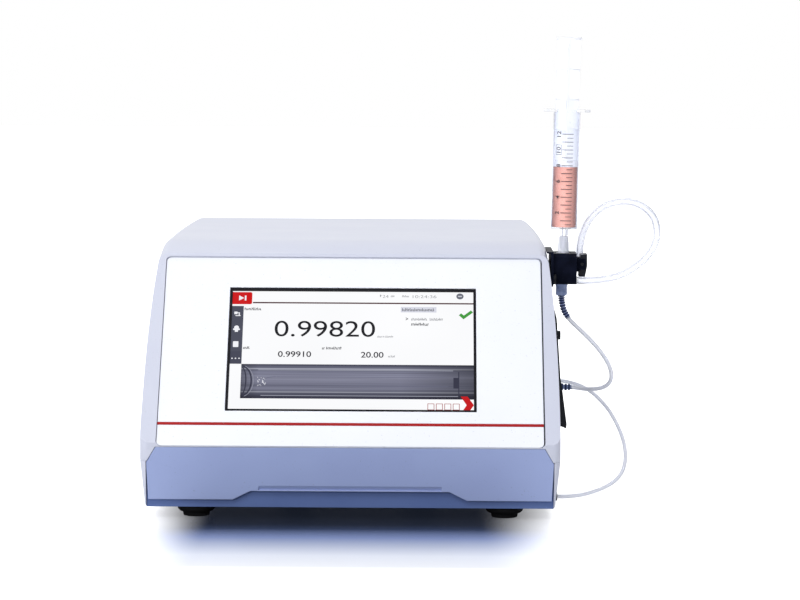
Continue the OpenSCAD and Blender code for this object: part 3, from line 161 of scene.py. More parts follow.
def on_inlet(x, y, t):
    """A point of the syringe: x and y across it, t along its axis from the block's top."""
    lean, turn = math.sin(INLET_LEAN), math.cos(INLET_LEAN)
    foot_x, foot_y, foot_z = INLET_FOOT
    return at(foot_x + x * turn + t * lean, foot_y + y, foot_z - x * lean + t * turn)


# ---------- Camera ----------


def make_camera():
    place, yaw, pitch, roll = at(40.5, -2058.2, 319.3), -0.0051, 0.0891, 0.0055
    forward = Vector(
        (math.sin(yaw) * math.cos(pitch), math.cos(yaw) * math.cos(pitch), -math.sin(pitch))
    )
    level = Vector((math.cos(yaw), -math.sin(yaw), 0))
    upright = level.cross(forward)
    right = math.cos(roll) * level + math.sin(roll) * upright
    up = -math.sin(roll) * level + math.cos(roll) * upright
    data = bpy.data.cameras.new("camera")
    data.sensor_width = 36
    data.lens = 152.955
    data.clip_end = 50
    camera = bpy.data.objects.new("camera", data)
    camera.matrix_world = Matrix.Translation(place) @ Matrix((right, up, -forward)).transposed().to_4x4()
    bpy.context.scene.collection.objects.link(camera)
    bpy.context.scene.camera = camera


make_camera()


# ---------- Mesh helpers ----------

BORE_SIDES = 32
TURN_SIDES = 64
RELIEF_SIDES = 28
# The radius of a turned piece's middle points
AXIS = 0.001


def spread(first, last, count):
    return [first + (last - first) * i / count for i in range(count + 1)]


def make_piece(name, points, faces, sharp=30):
    """A mesh object, smooth except at edges that bend by more than sharp degrees."""
    mesh = bpy.data.meshes.new(name)
    mesh.from_pydata([tuple(p) for p in points], [], faces)
    mesh.validate()
    piece = bpy.data.objects.new(name, mesh)
    bpy.context.scene.collection.objects.link(piece)
    smooth(piece, sharp)
    return piece


def smooth(piece, sharp=30):
    piece.data.shade_smooth()
    piece.data.set_sharp_from_angle(angle=math.radians(sharp))


def bake_modifiers(piece):
    graph = bpy.context.evaluated_depsgraph_get()
    finished = bpy.data.meshes.new_from_object(piece.evaluated_get(graph))
    piece.modifiers.clear()
    piece.data = finished


def cut_away(piece, *cutters):
    for cutter in cutters:
        cut = piece.modifiers.new("Cut", "BOOLEAN")
        cut.operation = "DIFFERENCE"
        cut.solver = "EXACT"
        cut.object = cutter
        bake_modifiers(piece)
        bpy.data.objects.remove(cutter)


def loft(rings, closed=False):
    """Points and faces between rings with the same number of points, capped at both ends unless closed."""
    count = len(rings[0])
    points = [p for ring in rings for p in ring]
    faces = []
    spans = len(rings) if closed else len(rings) - 1
    for k in range(spans):
        a, b = k * count, (k + 1) % len(rings) * count
        faces += [(a + i, a + (i + 1) % count, b + (i + 1) % count, b + i) for i in range(count)]
    if not closed:
        faces.append(tuple(reversed(range(count))))
        faces.append(tuple(range((len(rings) - 1) * count, len(rings) * count)))
    return points, faces


def outwards(points, faces):
    """The faces, turned round if the solid they close is inside out."""
    volume = 0.0
    for face in faces:
        corner = Vector(points[face[0]])
        for i in range(1, len(face) - 1):
            volume += corner.dot(Vector(points[face[i]]).cross(Vector(points[face[i + 1]])))
    return faces if volume > 0 else [tuple(reversed(face)) for face in faces]


def solid(name, rings, closed=False, sharp=30):
    points, faces = loft(rings, closed)
    return make_piece(name, points, outwards(points, faces), sharp)


def prism(place, outline, low, high):
    """Points and faces of an outline in a plane, extruded between two heights of place."""
    points, faces = loft([[place(x, v, w) for x, v in outline] for w in (low, high)])
    return points, outwards(points, faces)


def joined(name, parts):
    """One piece from several (points, faces)."""
    points, faces = [], []
    for some_points, some_faces in parts:
        start = len(points)
        points += some_points
        faces += [tuple(start + i for i in face) for face in some_faces]
    return make_piece(name, points, faces)


def rectangle(x0, v0, x1, v1):
    return [(x0, v0), (x1, v0), (x1, v1), (x0, v1)]


def round_rectangle(x, v, width, height, radius, steps=6):
    corners = [(1, 1), (-1, 1), (-1, -1), (1, -1)]
    outline = []
    for quarter, (sx, sv) in enumerate(corners):
        for a in spread(quarter * math.pi / 2, (quarter + 1) * math.pi / 2, steps):
            outline.append((
                x + sx * (width / 2 - radius) + radius * math.cos(a),
                v + sv * (height / 2 - radius) + radius * math.sin(a),
            ))
    return outline


def disc(x, v, radius, steps=24):
    return [
        (x + radius * math.cos(2 * math.pi * i / steps), v + radius * math.sin(2 * math.pi * i / steps))
        for i in range(steps)
    ]


def bore(start, direction, diameter, length):
    """Points and faces of a round cutter."""
    along = Vector(direction).normalized()
    side = along.orthogonal().normalized()
    other = along.cross(side)
    rings = []
    for t in (0, length):
        middle = Vector(start) + along * t * MM
        rings.append([
            middle + (side * math.cos(a) + other * math.sin(a)) * diameter / 2 * MM
            for a in spread(0, 2 * math.pi, BORE_SIDES)[:-1]
        ])
    points, faces = loft(rings)
    return points, outwards(points, faces)


def turned(name, profile, place):
    """A turned piece: profile holds (radius, height) points, from its foot round to its foot again."""
    rings = []
    for i in range(TURN_SIDES):
        a = 2 * math.pi * i / TURN_SIDES
        rings.append([place(r * math.cos(a), r * math.sin(a), t) for r, t in profile])
    return solid(name, rings, closed=True)


def dress(piece, finish, body, slot, *nodes):
    """Gives a piece its finish and its body, and hides the nodes that it stands for. Its slot is not used."""
    piece.data.materials.clear()
    piece.data.materials.append(finish)
    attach(piece, body)
    if nodes:
        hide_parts(*nodes)
    return piece


# ---------- Routes of the hose and the leads ----------

# Points as they hang, in the housing's millimetres
HOSE = [
    (143.5, 111, 138.9), (149, 111, 138.9), (156, 111, 139.4), (164, 111, 140.6), (171.5, 112, 142.8),
    (179, 113.5, 147), (185.5, 115, 152), (190.5, 117, 158), (193.5, 118.8, 164.5), (194.05, 120.5, 171.5),
    (191.8, 123, 179), (186, 126, 185), (178, 128.5, 188.3), (169.5, 130.8, 188.3), (161.5, 132.3, 185.6),
    (155, 133.2, 180.8), (150.2, 133.9, 174.6), (147.2, 134.3, 167.6), (145.5, 134.5, 160),
    (145.1, 134.5, 152.4),
]
PLUG_BEND = [(133.1, 118, 128.6), (133.5, 118, 124.2), (134.9, 118, 118.8), (137.5, 118, 114.2)]
LEAD = [
    (137.5, 118, 114.2), (140.4, 118, 110.9), (145.5, 118.4, 106.2), (150.8, 119.4, 101),
    (155.8, 120.9, 95.6), (160.4, 123.1, 89.8), (164, 126, 83.8), (166.2, 129.4, 77.9),
    (166.3, 133.2, 72.6), (163.8, 137.6, 68.2), (159, 142, 65.7), (153.6, 145.6, 64.8),
    (149, 148, 64.8), (145, 149.5, 65.2), (141.5, 150, 65.6),
]
SOCKET_BEND = [(130.5, 150, 66), (134, 150, 65.8), (138, 150, 65.6), (141.5, 150, 65.6)]
AUX = [
    (130.5, 168, 68), (136, 168, 67.6), (142.5, 167.8, 66.4), (149, 166.9, 64.3), (155.2, 164.2, 60.8),
    (160.8, 159.4, 56.2), (165.8, 152.4, 50.8), (169.8, 143.6, 44.6), (172.8, 133.6, 38.2),
    (174.5, 122.6, 32.4), (174.8, 111, 27), (173.6, 99, 21.9), (170.8, 87, 17.8), (166.4, 75.4, 14.9),
    (160.4, 63.8, 12.9), (153, 52.6, 11.5), (144.4, 41.8, 10.7), (136.6, 33.2, 10.9),
    (131.8, 29.2, 11.2), (127.5, 28, 11.4),
]
HOSE_D = 4.7
HOSE_BORE = 3.0
LEAD_D = 2.7
AUX_D = 2.4


def side_lean(z):
    return SIDE_DRAW * max(0, (z - SEAM_Z) / (TOP_Z - SEAM_Z)) ** 3


def base_lean(z):
    return BASE_DRAW * max(0, (SEAM_Z - z) / (SEAM_Z - BASE_Z))


def drawn(route, start, end):
    """The route with its ends drawn to two fittings."""
    last = len(route) - 1
    pull_start = Vector(start) - Vector(route[0])
    pull_end = Vector(end) - Vector(route[-1])
    return [
        Vector(p) + pull_start * (1 - i / last) + pull_end * i / last for i, p in enumerate(route)
    ]


def smoothed(route, per_span=5):
    """Points of a smooth curve through the route, in the shared frame."""
    ends = [2 * route[0] - route[1], *route, 2 * route[-1] - route[-2]]
    curve = []
    for i in range(1, len(ends) - 2):
        a, b, c, d = ends[i - 1:i + 3]
        for k in range(per_span):
            t = k / per_span
            bend = 2 * a - 5 * b + 4 * c - d
            twist = 3 * b - a - 3 * c + d
            curve.append((2 * b + (c - a) * t + bend * t * t + twist * t ** 3) / 2)
    curve.append(route[-1])
    return [at(*p) for p in curve]


def tube(name, path, radii, bore_radius=None, sides=24):
    """A round tube along path, with one radius for each point, and hollow if it has a bore."""
    rings, across = [], None
    for i, p in enumerate(path):
        along = (path[min(i + 1, len(path) - 1)] - path[max(i - 1, 0)]).normalized()
        across = along.orthogonal() if across is None else across - along * across.dot(along)
        across = across.normalized()
        other = along.cross(across)
        turns = [2 * math.pi * k / sides for k in range(sides)]
        rings.append([p + (across * math.cos(a) + other * math.sin(a)) * radii[i] * MM for a in turns])
    if bore_radius is None:
        return solid(name, rings, sharp=50)
    inner = [
        [p + (q - p).normalized() * bore_radius * MM for q in ring] for p, ring in zip(path, rings)
    ]
    return solid(name, rings + inner[::-1], closed=True, sharp=50)


PLUG_FOOT = (ADAPTER_X - 0.8, ADAPTER_Y, 128.6)
PLUG_TAIL = (PLUG_FOOT[0] + 4.4, ADAPTER_Y, 114.2)
SOCKET_FACE = (BODY_W / 2 - side_lean(66) + 1.9, 150, 66)
SOCKET_TAIL = (SOCKET_FACE[0] + 11, 150, 65.6)
AUX_FACE = (BODY_W / 2 - side_lean(68) + 1.9, 168, 68)
GROMMET_FACE = (BODY_W / 2 - base_lean(14) + 1.5, 28, 11.4)

hose_path = smoothed(drawn(HOSE, (ADAPTER_END + 1.3, 111, 138.9), (ADAPTER_END + 2.9, 134.5, 152.4)))
plug_path = smoothed(drawn(PLUG_BEND, PLUG_FOOT, PLUG_TAIL), per_span=24)
lead_path = smoothed(drawn(LEAD, PLUG_TAIL, SOCKET_TAIL))
socket_path = smoothed(drawn(SOCKET_BEND, SOCKET_FACE, SOCKET_TAIL), per_span=24)
aux_path = smoothed(drawn(AUX, AUX_FACE, GROMMET_FACE))

hose = tube("outlet_hose_clear", hose_path, [HOSE_D / 2] * len(hose_path), HOSE_BORE / 2)
lead = tube("sensor_lead_white", lead_path, [LEAD_D / 2] * len(lead_path))
aux = tube("aux_lead_white", aux_path, [AUX_D / 2] * len(aux_path))


def ribbed_relief(name, path, start_radius, end_radius, ribs):
    """A tapered strain relief: rings on a thinner core, with the turns of the core given back."""
    steps = 6
    fine, radii, core = [], [], []
    spans = ribs * steps
    for i in range(spans + 1):
        place = i / spans * (len(path) - 1)
        low = min(int(place), len(path) - 2)
        fine.append(path[low].lerp(path[low + 1], place - low))
        on_rib = i % steps < 4
        crest = start_radius + (end_radius - start_radius) * i / spans
        radii.append(crest if on_rib else LEAD_D / 2 + 0.1)
        core.append(not (on_rib and (i + 1) % steps < 4))
    return tube(name, fine, radii, sides=RELIEF_SIDES), core


def pale_between_ribs(relief, core):
    """Gives the core between the rings the second finish of the relief."""
    for k, is_core in enumerate(core[:-1]):
        for face in relief.data.polygons[k * RELIEF_SIDES:(k + 1) * RELIEF_SIDES]:
            face.material_index = int(is_core)


plug_relief, plug_core = ribbed_relief("plug_relief_ribs", plug_path, 2.25, 1.85, 9)
socket_relief, socket_core = ribbed_relief("socket_relief_ribs", socket_path, 2.6, 2.0, 5)

# ---------- Shared effects of the finishes ----------

FLOAT, COLOUR, VECTOR = "NodeSocketFloat", "NodeSocketColor", "NodeSocketVector"


def rgba(colour):
    return (*colour, 1.0)


def wire(tree, node, wires):
    """Sets a node's inputs to values, or links them to other nodes' outputs."""
    for socket, value in wires.items():
        if isinstance(value, bpy.types.NodeSocket):
            tree.links.new(value, node.inputs[socket])
        else:
            node.inputs[socket].default_value = value


def add(tree, kind, wires=None, **settings):
    """A new node, with its settings and its inputs."""
    node = tree.nodes.new(kind)
    for key, value in settings.items():
        setattr(node, key, value)
    wire(tree, node, wires or {})
    return node


def calculate(tree, operation, first, second):
    """One of the sums that the maths node does with two values."""
    return add(tree, "ShaderNodeMath", {0: first, 1: second}, operation=operation).outputs[0]


def mapped(tree, value, from_low, from_high, to_low=0.0, to_high=1.0, **settings):
    """A value carried from one span to another, and held within it."""
    return add(tree, "ShaderNodeMapRange", {
        "Value": value, "From Min": from_low, "From Max": from_high, "To Min": to_low, "To Max": to_high,
    }, **settings).outputs[0]


def mixed(tree, share, first, second):
    """The second colour laid over the first by a share."""
    return add(tree, "ShaderNodeMix", {0: share, 6: first, 7: second}, data_type="RGBA").outputs[2]


def noise(tree, place, scale, detail, distortion=0.0):
    return add(tree, "ShaderNodeTexNoise", {
        "Vector": place, "Scale": scale, "Detail": detail, "Distortion": distortion,
    }).outputs[0]


def stretched(tree, place, scale):
    return add(tree, "ShaderNodeMapping", {"Vector": place, "Scale": scale}).outputs[0]


def dimmed(tree, colour, level):
    return add(tree, "ShaderNodeVectorMath", {0: colour, "Scale": level}, operation="SCALE").outputs[0]


def colour_bands(tree, value, tones):
    """A colour picked along (position, colour) pairs."""
    node = add(tree, "ShaderNodeValToRGB", {0: value})
    stops = node.color_ramp.elements
    stops[0].position, stops[0].color = tones[0][0], rgba(tones[0][1])
    stops[1].position, stops[1].color = tones[-1][0], rgba(tones[-1][1])
    for position, tone in tones[1:-1]:
        stops.new(position).color = rgba(tone)
    return node.outputs[0]


def shader_group(name, inputs, outputs):
    """An empty node group: its tree, what comes in, and the node that takes its results."""
    tree = bpy.data.node_groups.new(name, "ShaderNodeTree")
    for title, kind, value in inputs:
        tree.interface.new_socket(title, in_out="INPUT", socket_type=kind).default_value = value
    for title, kind in outputs:
        tree.interface.new_socket(title, in_out="OUTPUT", socket_type=kind)
    return tree, tree.nodes.new("NodeGroupInput").outputs, tree.nodes.new("NodeGroupOutput")


def make_grain_group():
    """Fine moulded texture, wide soft patches and rare specks."""
    tree, into, out = shader_group(
        "Moulded Grain",
        [("Place", VECTOR, (0, 0, 0)), ("Grain Size", FLOAT, 0.8), ("Patch Size", FLOAT, 40.0)],
        [("Height", FLOAT), ("Patches", FLOAT), ("Specks", FLOAT)],
    )
    grain_scale, patch_scale = (
        calculate(tree, "DIVIDE", 1000.0, into[size]) for size in ("Grain Size", "Patch Size")
    )
    dots = noise(tree, into["Place"], 900.0, 1.0)
    wire(tree, out, {
        "Height": noise(tree, into["Place"], grain_scale, 3.0),
        "Patches": noise(tree, into["Place"], patch_scale, 2.0),
        "Specks": mapped(tree, dots, 0.7, 0.8),
    })
    return tree


def make_tone_group():
    """Two close tones over the patches, darker specks, and paler edges: rubbed wear, and on the adapter block
    a painted blue sheen.
    """
    tree, into, out = shader_group(
        "Toned Colour",
        [
            ("Colour", COLOUR, (0.8, 0.8, 0.8, 1)), ("Second Colour", COLOUR, (0.7, 0.7, 0.7, 1)),
            ("Patches", FLOAT, 0.5), ("Specks", FLOAT, 0.0), ("Wear And Sheen", FLOAT, 0.0),
            ("Wear And Sheen Colour", COLOUR, (0.9, 0.9, 0.9, 1)),
        ],
        [("Colour", COLOUR)],
    )
    tones = mixed(tree, mapped(tree, into["Patches"], 0.35, 0.65), into["Colour"], into["Second Colour"])
    speck_share = calculate(tree, "MULTIPLY", into["Specks"], 0.25)
    dusted = mixed(tree, speck_share, tones, (0.12, 0.12, 0.13, 1))
    wire(tree, out, {"Colour": mixed(tree, into["Wear And Sheen"], dusted, into["Wear And Sheen Colour"])})
    return tree


def make_handling_group():
    """Roughness that varies with faint smears and fine scuffs."""
    tree, into, out = shader_group(
        "Handled Gloss",
        [("Place", VECTOR, (0, 0, 0)), ("Roughness", FLOAT, 0.4), ("Spread", FLOAT, 0.1)],
        [("Roughness", FLOAT)],
    )
    smears = noise(tree, into["Place"], 28.0, 4.0, 0.6)
    scuffs = noise(tree, stretched(tree, into["Place"], (60.0, 420.0, 900.0)), 1.0, 2.0)
    centred = calculate(tree, "SUBTRACT", calculate(tree, "ADD", smears, scuffs), 1.0)
    change = calculate(tree, "MULTIPLY", centred, into["Spread"])
    total = add(tree, "ShaderNodeMath", {0: change, 1: into["Roughness"]}, operation="ADD", use_clamp=True)
    wire(tree, out, {"Roughness": total.outputs[0]})
    return tree


def make_edge_group():
    """Normals rounded at the edges, and a broken mask along the edges: where they are rubbed, and on the
    adapter block where a painted sheen lies.
    """
    tree, into, out = shader_group(
        "Soft Edges",
        [("Place", VECTOR, (0, 0, 0)), ("Radius", FLOAT, 0.0004)],
        [("Normal", VECTOR), ("Wear And Sheen", FLOAT)],
    )
    rounded = add(tree, "ShaderNodeBevel", {"Radius": into["Radius"]}, samples=4).outputs[0]
    flat = add(tree, "ShaderNodeNewGeometry").outputs["Normal"]
    likeness = add(tree, "ShaderNodeVectorMath", {0: rounded, 1: flat}, operation="DOT_PRODUCT")
    bend = mapped(tree, likeness.outputs["Value"], 0.98, 0.72)
    broken = mapped(tree, noise(tree, into["Place"], 260.0, 3.0), 0.45, 0.7)
    wire(tree, out, {"Normal": rounded, "Wear And Sheen": calculate(tree, "MULTIPLY", bend, broken)})
    return tree


def make_drawn_metal_group():
    """Fine parallel lines of rolled or turned metal."""
    tree, into, out = shader_group(
        "Drawn Metal",
        [("Place", VECTOR, (0, 0, 0)), ("Stretch", VECTOR, (20.0, 20.0, 2500.0))],
        [("Height", FLOAT), ("Tone", FLOAT)],
    )
    lines = noise(tree, stretched(tree, into["Place"], into["Stretch"]), 1.0, 3.0)
    wire(tree, out, {"Height": lines, "Tone": mapped(tree, lines, 0.3, 0.7)})
    return tree


def make_pixel_group():
    """A display colour broken by its fine grid of picture points and a faint unevenness of its light."""
    tree, into, out = shader_group(
        "Picture Points",
        [("Place", VECTOR, (0, 0, 0)), ("Colour", COLOUR, (1, 1, 1, 1))],
        [("Colour", COLOUR)],
    )
    grid = add(tree, "ShaderNodeTexChecker", {"Vector": into["Place"], "Scale": 7000.0})
    point = mapped(tree, grid.outputs["Fac"], 0.0, 1.0, 0.985, 1.0)
    dim = mapped(tree, noise(tree, into["Place"], 12.0, 1.0), 0.3, 0.7, 0.96, 1.0)
    wire(tree, out, {"Colour": dimmed(tree, into["Colour"], calculate(tree, "MULTIPLY", dim, point))})
    return tree


GRAIN = make_grain_group()
TONE = make_tone_group()
HANDLING = make_handling_group()
EDGES = make_edge_group()
DRAWN_METAL = make_drawn_metal_group()
PIXELS = make_pixel_group()


def use(tree, group, wires):
    """A shared effect placed in a material, with its own values."""
    return add(tree, "ShaderNodeGroup", wires, node_tree=group).outputs


def blank(name):
    """A new material: itself, its tree, its shader and its object coordinates."""
    material = bpy.data.materials.new(name)
    material.use_nodes = True
    tree = material.node_tree
    tree.nodes.clear()
    shader = tree.nodes.new("ShaderNodeBsdfPrincipled")
    ending = tree.nodes.new("ShaderNodeOutputMaterial")
    tree.links.new(shader.outputs[0], ending.inputs[0])
    place = tree.nodes.new("ShaderNodeTexCoord").outputs["Object"]
    return material, tree, shader, place


def node_of(tree, kind):
    return next(node for node in tree.nodes if node.type == kind)


def cover(tree, shader, place, tone, height, edges, roughness, spread_of_gloss, bump, sockets):
    """Gives the shader its colour, its gloss, its relief and its plain values."""
    gloss = use(tree, HANDLING, {"Place": place, "Roughness": roughness, "Spread": spread_of_gloss})
    relief = add(tree, "ShaderNodeBump", {
        "Height": height, "Normal": edges["Normal"], "Strength": 1.0, "Distance": bump * MM,
    })
    wire(tree, shader, {
        "Base Color": tone["Colour"], "Roughness": gloss["Roughness"], "Normal": relief.outputs[0], **sockets,
    })


# ---------- How the finishes are made ----------

FINISH = {}


def moulded(name, colour, second, roughness, grain=0.8, bump=0.02, spread_of_gloss=0.08, edge=0.35,
            wear_and_sheen_colour=None, patch=40.0, specks=True, **sockets):
    """Moulded plastic or rubber, with grain, two close tones, handled gloss and soft edges."""
    material, tree, shader, place = blank(name)
    texture = use(tree, GRAIN, {"Place": place, "Grain Size": grain, "Patch Size": patch})
    edges = use(tree, EDGES, {"Place": place, "Radius": edge * MM})
    tone = use(tree, TONE, {
        "Colour": rgba(colour), "Second Colour": rgba(second), "Patches": texture["Patches"],
        "Specks": texture["Specks"] if specks else 0.0, "Wear And Sheen": edges["Wear And Sheen"],
        "Wear And Sheen Colour": rgba(wear_and_sheen_colour or colour),
    })
    cover(tree, shader, place, tone, texture["Height"], edges, roughness, spread_of_gloss, bump, {
        socket.replace("_", " "): value for socket, value in sockets.items()
    })
    FINISH[name] = material


def metal(name, colour, second, roughness, stretch=(20.0, 20.0, 2500.0), bump=0.01):
    """Rolled or turned metal, with fine lines, two tones and soft edges."""
    material, tree, shader, place = blank(name)
    lines = use(tree, DRAWN_METAL, {"Place": place, "Stretch": stretch})
    edges = use(tree, EDGES, {"Place": place, "Radius": 0.25 * MM})
    tone = use(tree, TONE, {
        "Colour": rgba(colour), "Second Colour": rgba(second), "Patches": lines["Tone"],
        "Wear And Sheen": edges["Wear And Sheen"], "Wear And Sheen Colour": rgba([min(1, c * 1.3) for c in colour]),
    })
    cover(tree, shader, place, tone, lines["Height"], edges, roughness, 0.15, bump, {"Metallic": 1.0})
    FINISH[name] = material


def darker_outline(name, painted_shade_colour, blend):
    """Paints shade towards the outline of a round piece, where the finish turns to another, darker colour."""
    tree = FINISH[name].node_tree
    shader = node_of(tree, "BSDF_PRINCIPLED")
    facing = add(tree, "ShaderNodeLayerWeight", {"Blend": blend}).outputs["Facing"]
    toned = shader.inputs["Base Color"].links[0].from_socket
    wire(tree, shader, {"Base Color": mixed(tree, facing, toned, rgba(painted_shade_colour))})


def let_light_through(name, tint, share):
    """Lets a share of the light that the piece would block pass on to what lies behind it."""
    tree = FINISH[name].node_tree
    path = tree.nodes.new("ShaderNodeLightPath")
    amount = calculate(tree, "MULTIPLY", path.outputs["Is Shadow Ray"], share)
    open_way = add(tree, "ShaderNodeBsdfTransparent", {"Color": rgba(tint)})
    shader = node_of(tree, "BSDF_PRINCIPLED")
    mix = add(tree, "ShaderNodeMixShader", {0: amount, 1: shader.outputs[0], 2: open_way.outputs[0]})
    wire(tree, node_of(tree, "OUTPUT_MATERIAL"), {0: mix.outputs[0]})


# ---------- Finishes ----------

moulded("shell_white", (0.625, 0.645, 0.745), (0.61, 0.63, 0.735), 0.36, grain=0.7, bump=0.008,
        wear_and_sheen_colour=(0.74, 0.76, 0.85), Coat_Weight=0.15, Coat_Roughness=0.2)
moulded("panel_white", (0.905, 0.92, 0.965), (0.885, 0.90, 0.955), 0.45, grain=0.5, bump=0.006,
        edge=0.3, patch=70.0)
# Painted shade: the chin's darker blue-grey stands in for the shade on a front that leans down and forward.
moulded("chin_blue", (0.345, 0.42, 0.69), (0.33, 0.40, 0.67), 0.42, grain=0.7, bump=0.01,
        edge=0.6, wear_and_sheen_colour=(0.50, 0.56, 0.76))
moulded("chin_shade", (0.115, 0.175, 0.39), (0.10, 0.155, 0.36), 0.5, grain=0.7, bump=0.01,
        Specular_IOR_Level=0.2)
moulded("stripe_red", (0.40, 0.004, 0.006), (0.35, 0.003, 0.005), 0.35, bump=0.004, edge=0.1,
        Specular_IOR_Level=0.25)
moulded("carrier_grey", (0.05, 0.055, 0.07), (0.045, 0.05, 0.06), 0.55, bump=0.02)
metal("rear_sheet", (0.62, 0.63, 0.66), (0.55, 0.56, 0.60), 0.38, stretch=(15, 15, 1800))
moulded("foot_rubber", (0.006, 0.006, 0.007), (0.010, 0.010, 0.011), 0.75, grain=0.4, bump=0.03,
        wear_and_sheen_colour=(0.03, 0.03, 0.03), Specular_IOR_Level=0.1)
metal("screw_steel", (0.60, 0.60, 0.61), (0.48, 0.48, 0.50), 0.3)
moulded("bezel_black", (0.004, 0.004, 0.007), (0.006, 0.006, 0.009), 0.3, bump=0.004, edge=0.15,
        Specular_IOR_Level=0.12)
moulded("display_glass", (0.004, 0.004, 0.006), (0.006, 0.006, 0.008), 0.08, bump=0.0005,
        spread_of_gloss=0.06, edge=0.1, Specular_IOR_Level=0.12)
metal("display_metal", (0.58, 0.59, 0.60), (0.50, 0.51, 0.52), 0.35)
moulded("board_green", (0.01, 0.09, 0.04), (0.015, 0.12, 0.05), 0.4, grain=0.6, patch=6.0)
# Painted sheen: the bluish second tone and the dark blue at the rounded edges stand in for the blue sheen on
# the block's black plastic.
moulded("adapter_black", (0.004, 0.005, 0.011), (0.008, 0.010, 0.022), 0.34, grain=0.6,
        bump=0.006, edge=0.45, patch=9.0, wear_and_sheen_colour=(0.02, 0.03, 0.08),
        Specular_IOR_Level=0.012)
moulded("blackened_steel", (0.008, 0.009, 0.012), (0.012, 0.013, 0.018), 0.4, bump=0.004, edge=0.2,
        Specular_IOR_Level=0.15)
moulded("lever_dark", (0.006, 0.007, 0.012), (0.009, 0.010, 0.017), 0.3, bump=0.008, edge=0.4,
        wear_and_sheen_colour=(0.03, 0.04, 0.07), Specular_IOR_Level=0.18)
metal("nipple_steel", (0.66, 0.67, 0.69), (0.56, 0.57, 0.60), 0.22, bump=0.004)
moulded("plug_blue", (0.42, 0.50, 0.74), (0.28, 0.36, 0.62), 0.3, bump=0.004, patch=4.0,
        Transmission_Weight=0.3, IOR=1.3)
moulded("relief_navy", (0.018, 0.026, 0.09), (0.025, 0.035, 0.11), 0.45, bump=0.006, edge=0.15,
        wear_and_sheen_colour=(0.06, 0.08, 0.19), Specular_IOR_Level=0.2)
moulded("lead_white", (0.90, 0.91, 0.965), (0.87, 0.885, 0.95), 0.38, grain=0.9, bump=0.006,
        edge=0.1, patch=12.0, Transmission_Weight=0.35, IOR=1.1)
moulded("fitting_dark", (0.02, 0.022, 0.032), (0.03, 0.032, 0.042), 0.38, bump=0.008,
        Specular_IOR_Level=0.2)
moulded("deflector_black", (0.005, 0.006, 0.010), (0.008, 0.009, 0.014), 0.3, grain=0.7,
        bump=0.01, edge=0.5, wear_and_sheen_colour=(0.03, 0.04, 0.07), Specular_IOR_Level=0.15)
moulded("tube_glass", (0.85, 0.92, 0.94), (0.82, 0.90, 0.93), 0.04, bump=0.0005,
        spread_of_gloss=0.03, edge=0.1, Transmission_Weight=0.9, IOR=1.47)
metal("copper", (0.78, 0.36, 0.22), (0.66, 0.29, 0.17), 0.3, stretch=(2200, 25, 25))
moulded("peltier_white", (0.80, 0.80, 0.76), (0.74, 0.74, 0.70), 0.6, patch=8.0)
metal("sink_aluminium", (0.68, 0.69, 0.70), (0.58, 0.59, 0.61), 0.42, stretch=(25, 1800, 25))
moulded("sensor_dark", (0.03, 0.035, 0.04), (0.04, 0.045, 0.05), 0.45, patch=8.0)
moulded("light_white", (0.75, 0.75, 0.66), (0.70, 0.70, 0.62), 0.4, patch=6.0)
metal("standoff_brass", (0.72, 0.52, 0.20), (0.60, 0.43, 0.16), 0.28)
metal("port_metal", (0.64, 0.65, 0.67), (0.50, 0.51, 0.54), 0.26, stretch=(1500, 30, 30))
metal("motor_grey", (0.40, 0.41, 0.43), (0.32, 0.33, 0.35), 0.4, stretch=(30, 1200, 30))
moulded("ink_dark", (0.05, 0.045, 0.055), (0.07, 0.06, 0.07), 0.5, bump=0.001, edge=0.05)
moulded("luer_clear", (0.93, 0.94, 0.985), (0.90, 0.92, 0.98), 0.35, bump=0.004, edge=0.2,
        Transmission_Weight=0.6, IOR=1.12)
moulded("hose_clear", (0.95, 0.957, 0.99), (0.93, 0.94, 0.98), 0.12, bump=0.003, edge=0.1,
        Transmission_Weight=0.8, IOR=1.2)
moulded("barrel_clear", (0.97, 0.975, 0.99), (0.94, 0.95, 0.985), 0.07, grain=2.5, bump=0.003,
        spread_of_gloss=0.05, edge=0.2, wear_and_sheen_colour=(0.95, 0.96, 1), patch=20.0, specks=False,
        Transmission_Weight=1.0, IOR=1.2)
moulded("plunger_white", (0.975, 0.98, 1.0), (0.945, 0.955, 0.995), 0.55, bump=0.008, edge=0.3,
        Transmission_Weight=0.38, IOR=1.1)
moulded("sample_salmon", (0.86, 0.43, 0.355), (0.82, 0.40, 0.325), 0.3, grain=3.0, bump=0.001, edge=0.2,
        patch=18.0, Specular_IOR_Level=0.1)
# Painted shade at the outlines of the hose, the barrel and the sample, for the darkening of their clear walls
# and the liquid at the edges.
darker_outline("hose_clear", (0.50, 0.53, 0.66), 0.3)
darker_outline("barrel_clear", (0.40, 0.44, 0.56), 0.45)
darker_outline("sample_salmon", (0.26, 0.11, 0.095), 0.66)
let_light_through("luer_clear", (0.95, 0.96, 1.0), 0.6)
let_light_through("hose_clear", (0.97, 0.975, 1.0), 0.85)
let_light_through("barrel_clear", (0.96, 0.97, 1.0), 0.92)
let_light_through("plunger_white", (0.98, 0.985, 1.0), 0.85)
let_light_through("sample_salmon", (0.9, 0.6, 0.5), 0.6)

# ---------- Hose and leads in their finishes ----------

dress(hose, FINISH["hose_clear"], "housing", "hose_clear", "outlet_hose")
dress(lead, FINISH["lead_white"], "housing", "lead_white", "sensor_lead")
dress(aux, FINISH["lead_white"], "housing", "lead_white", "aux_lead")
dress(plug_relief, FINISH["relief_navy"], "housing", "relief_navy", "plug_relief")
dress(socket_relief, FINISH["relief_navy"], "housing", "relief_navy", "socket_relief")
for relief, core in ((plug_relief, plug_core), (socket_relief, socket_core)):
    relief.data.materials.append(FINISH["plug_blue"])
    pale_between_ribs(relief, core)

# ---------- Housing ----------


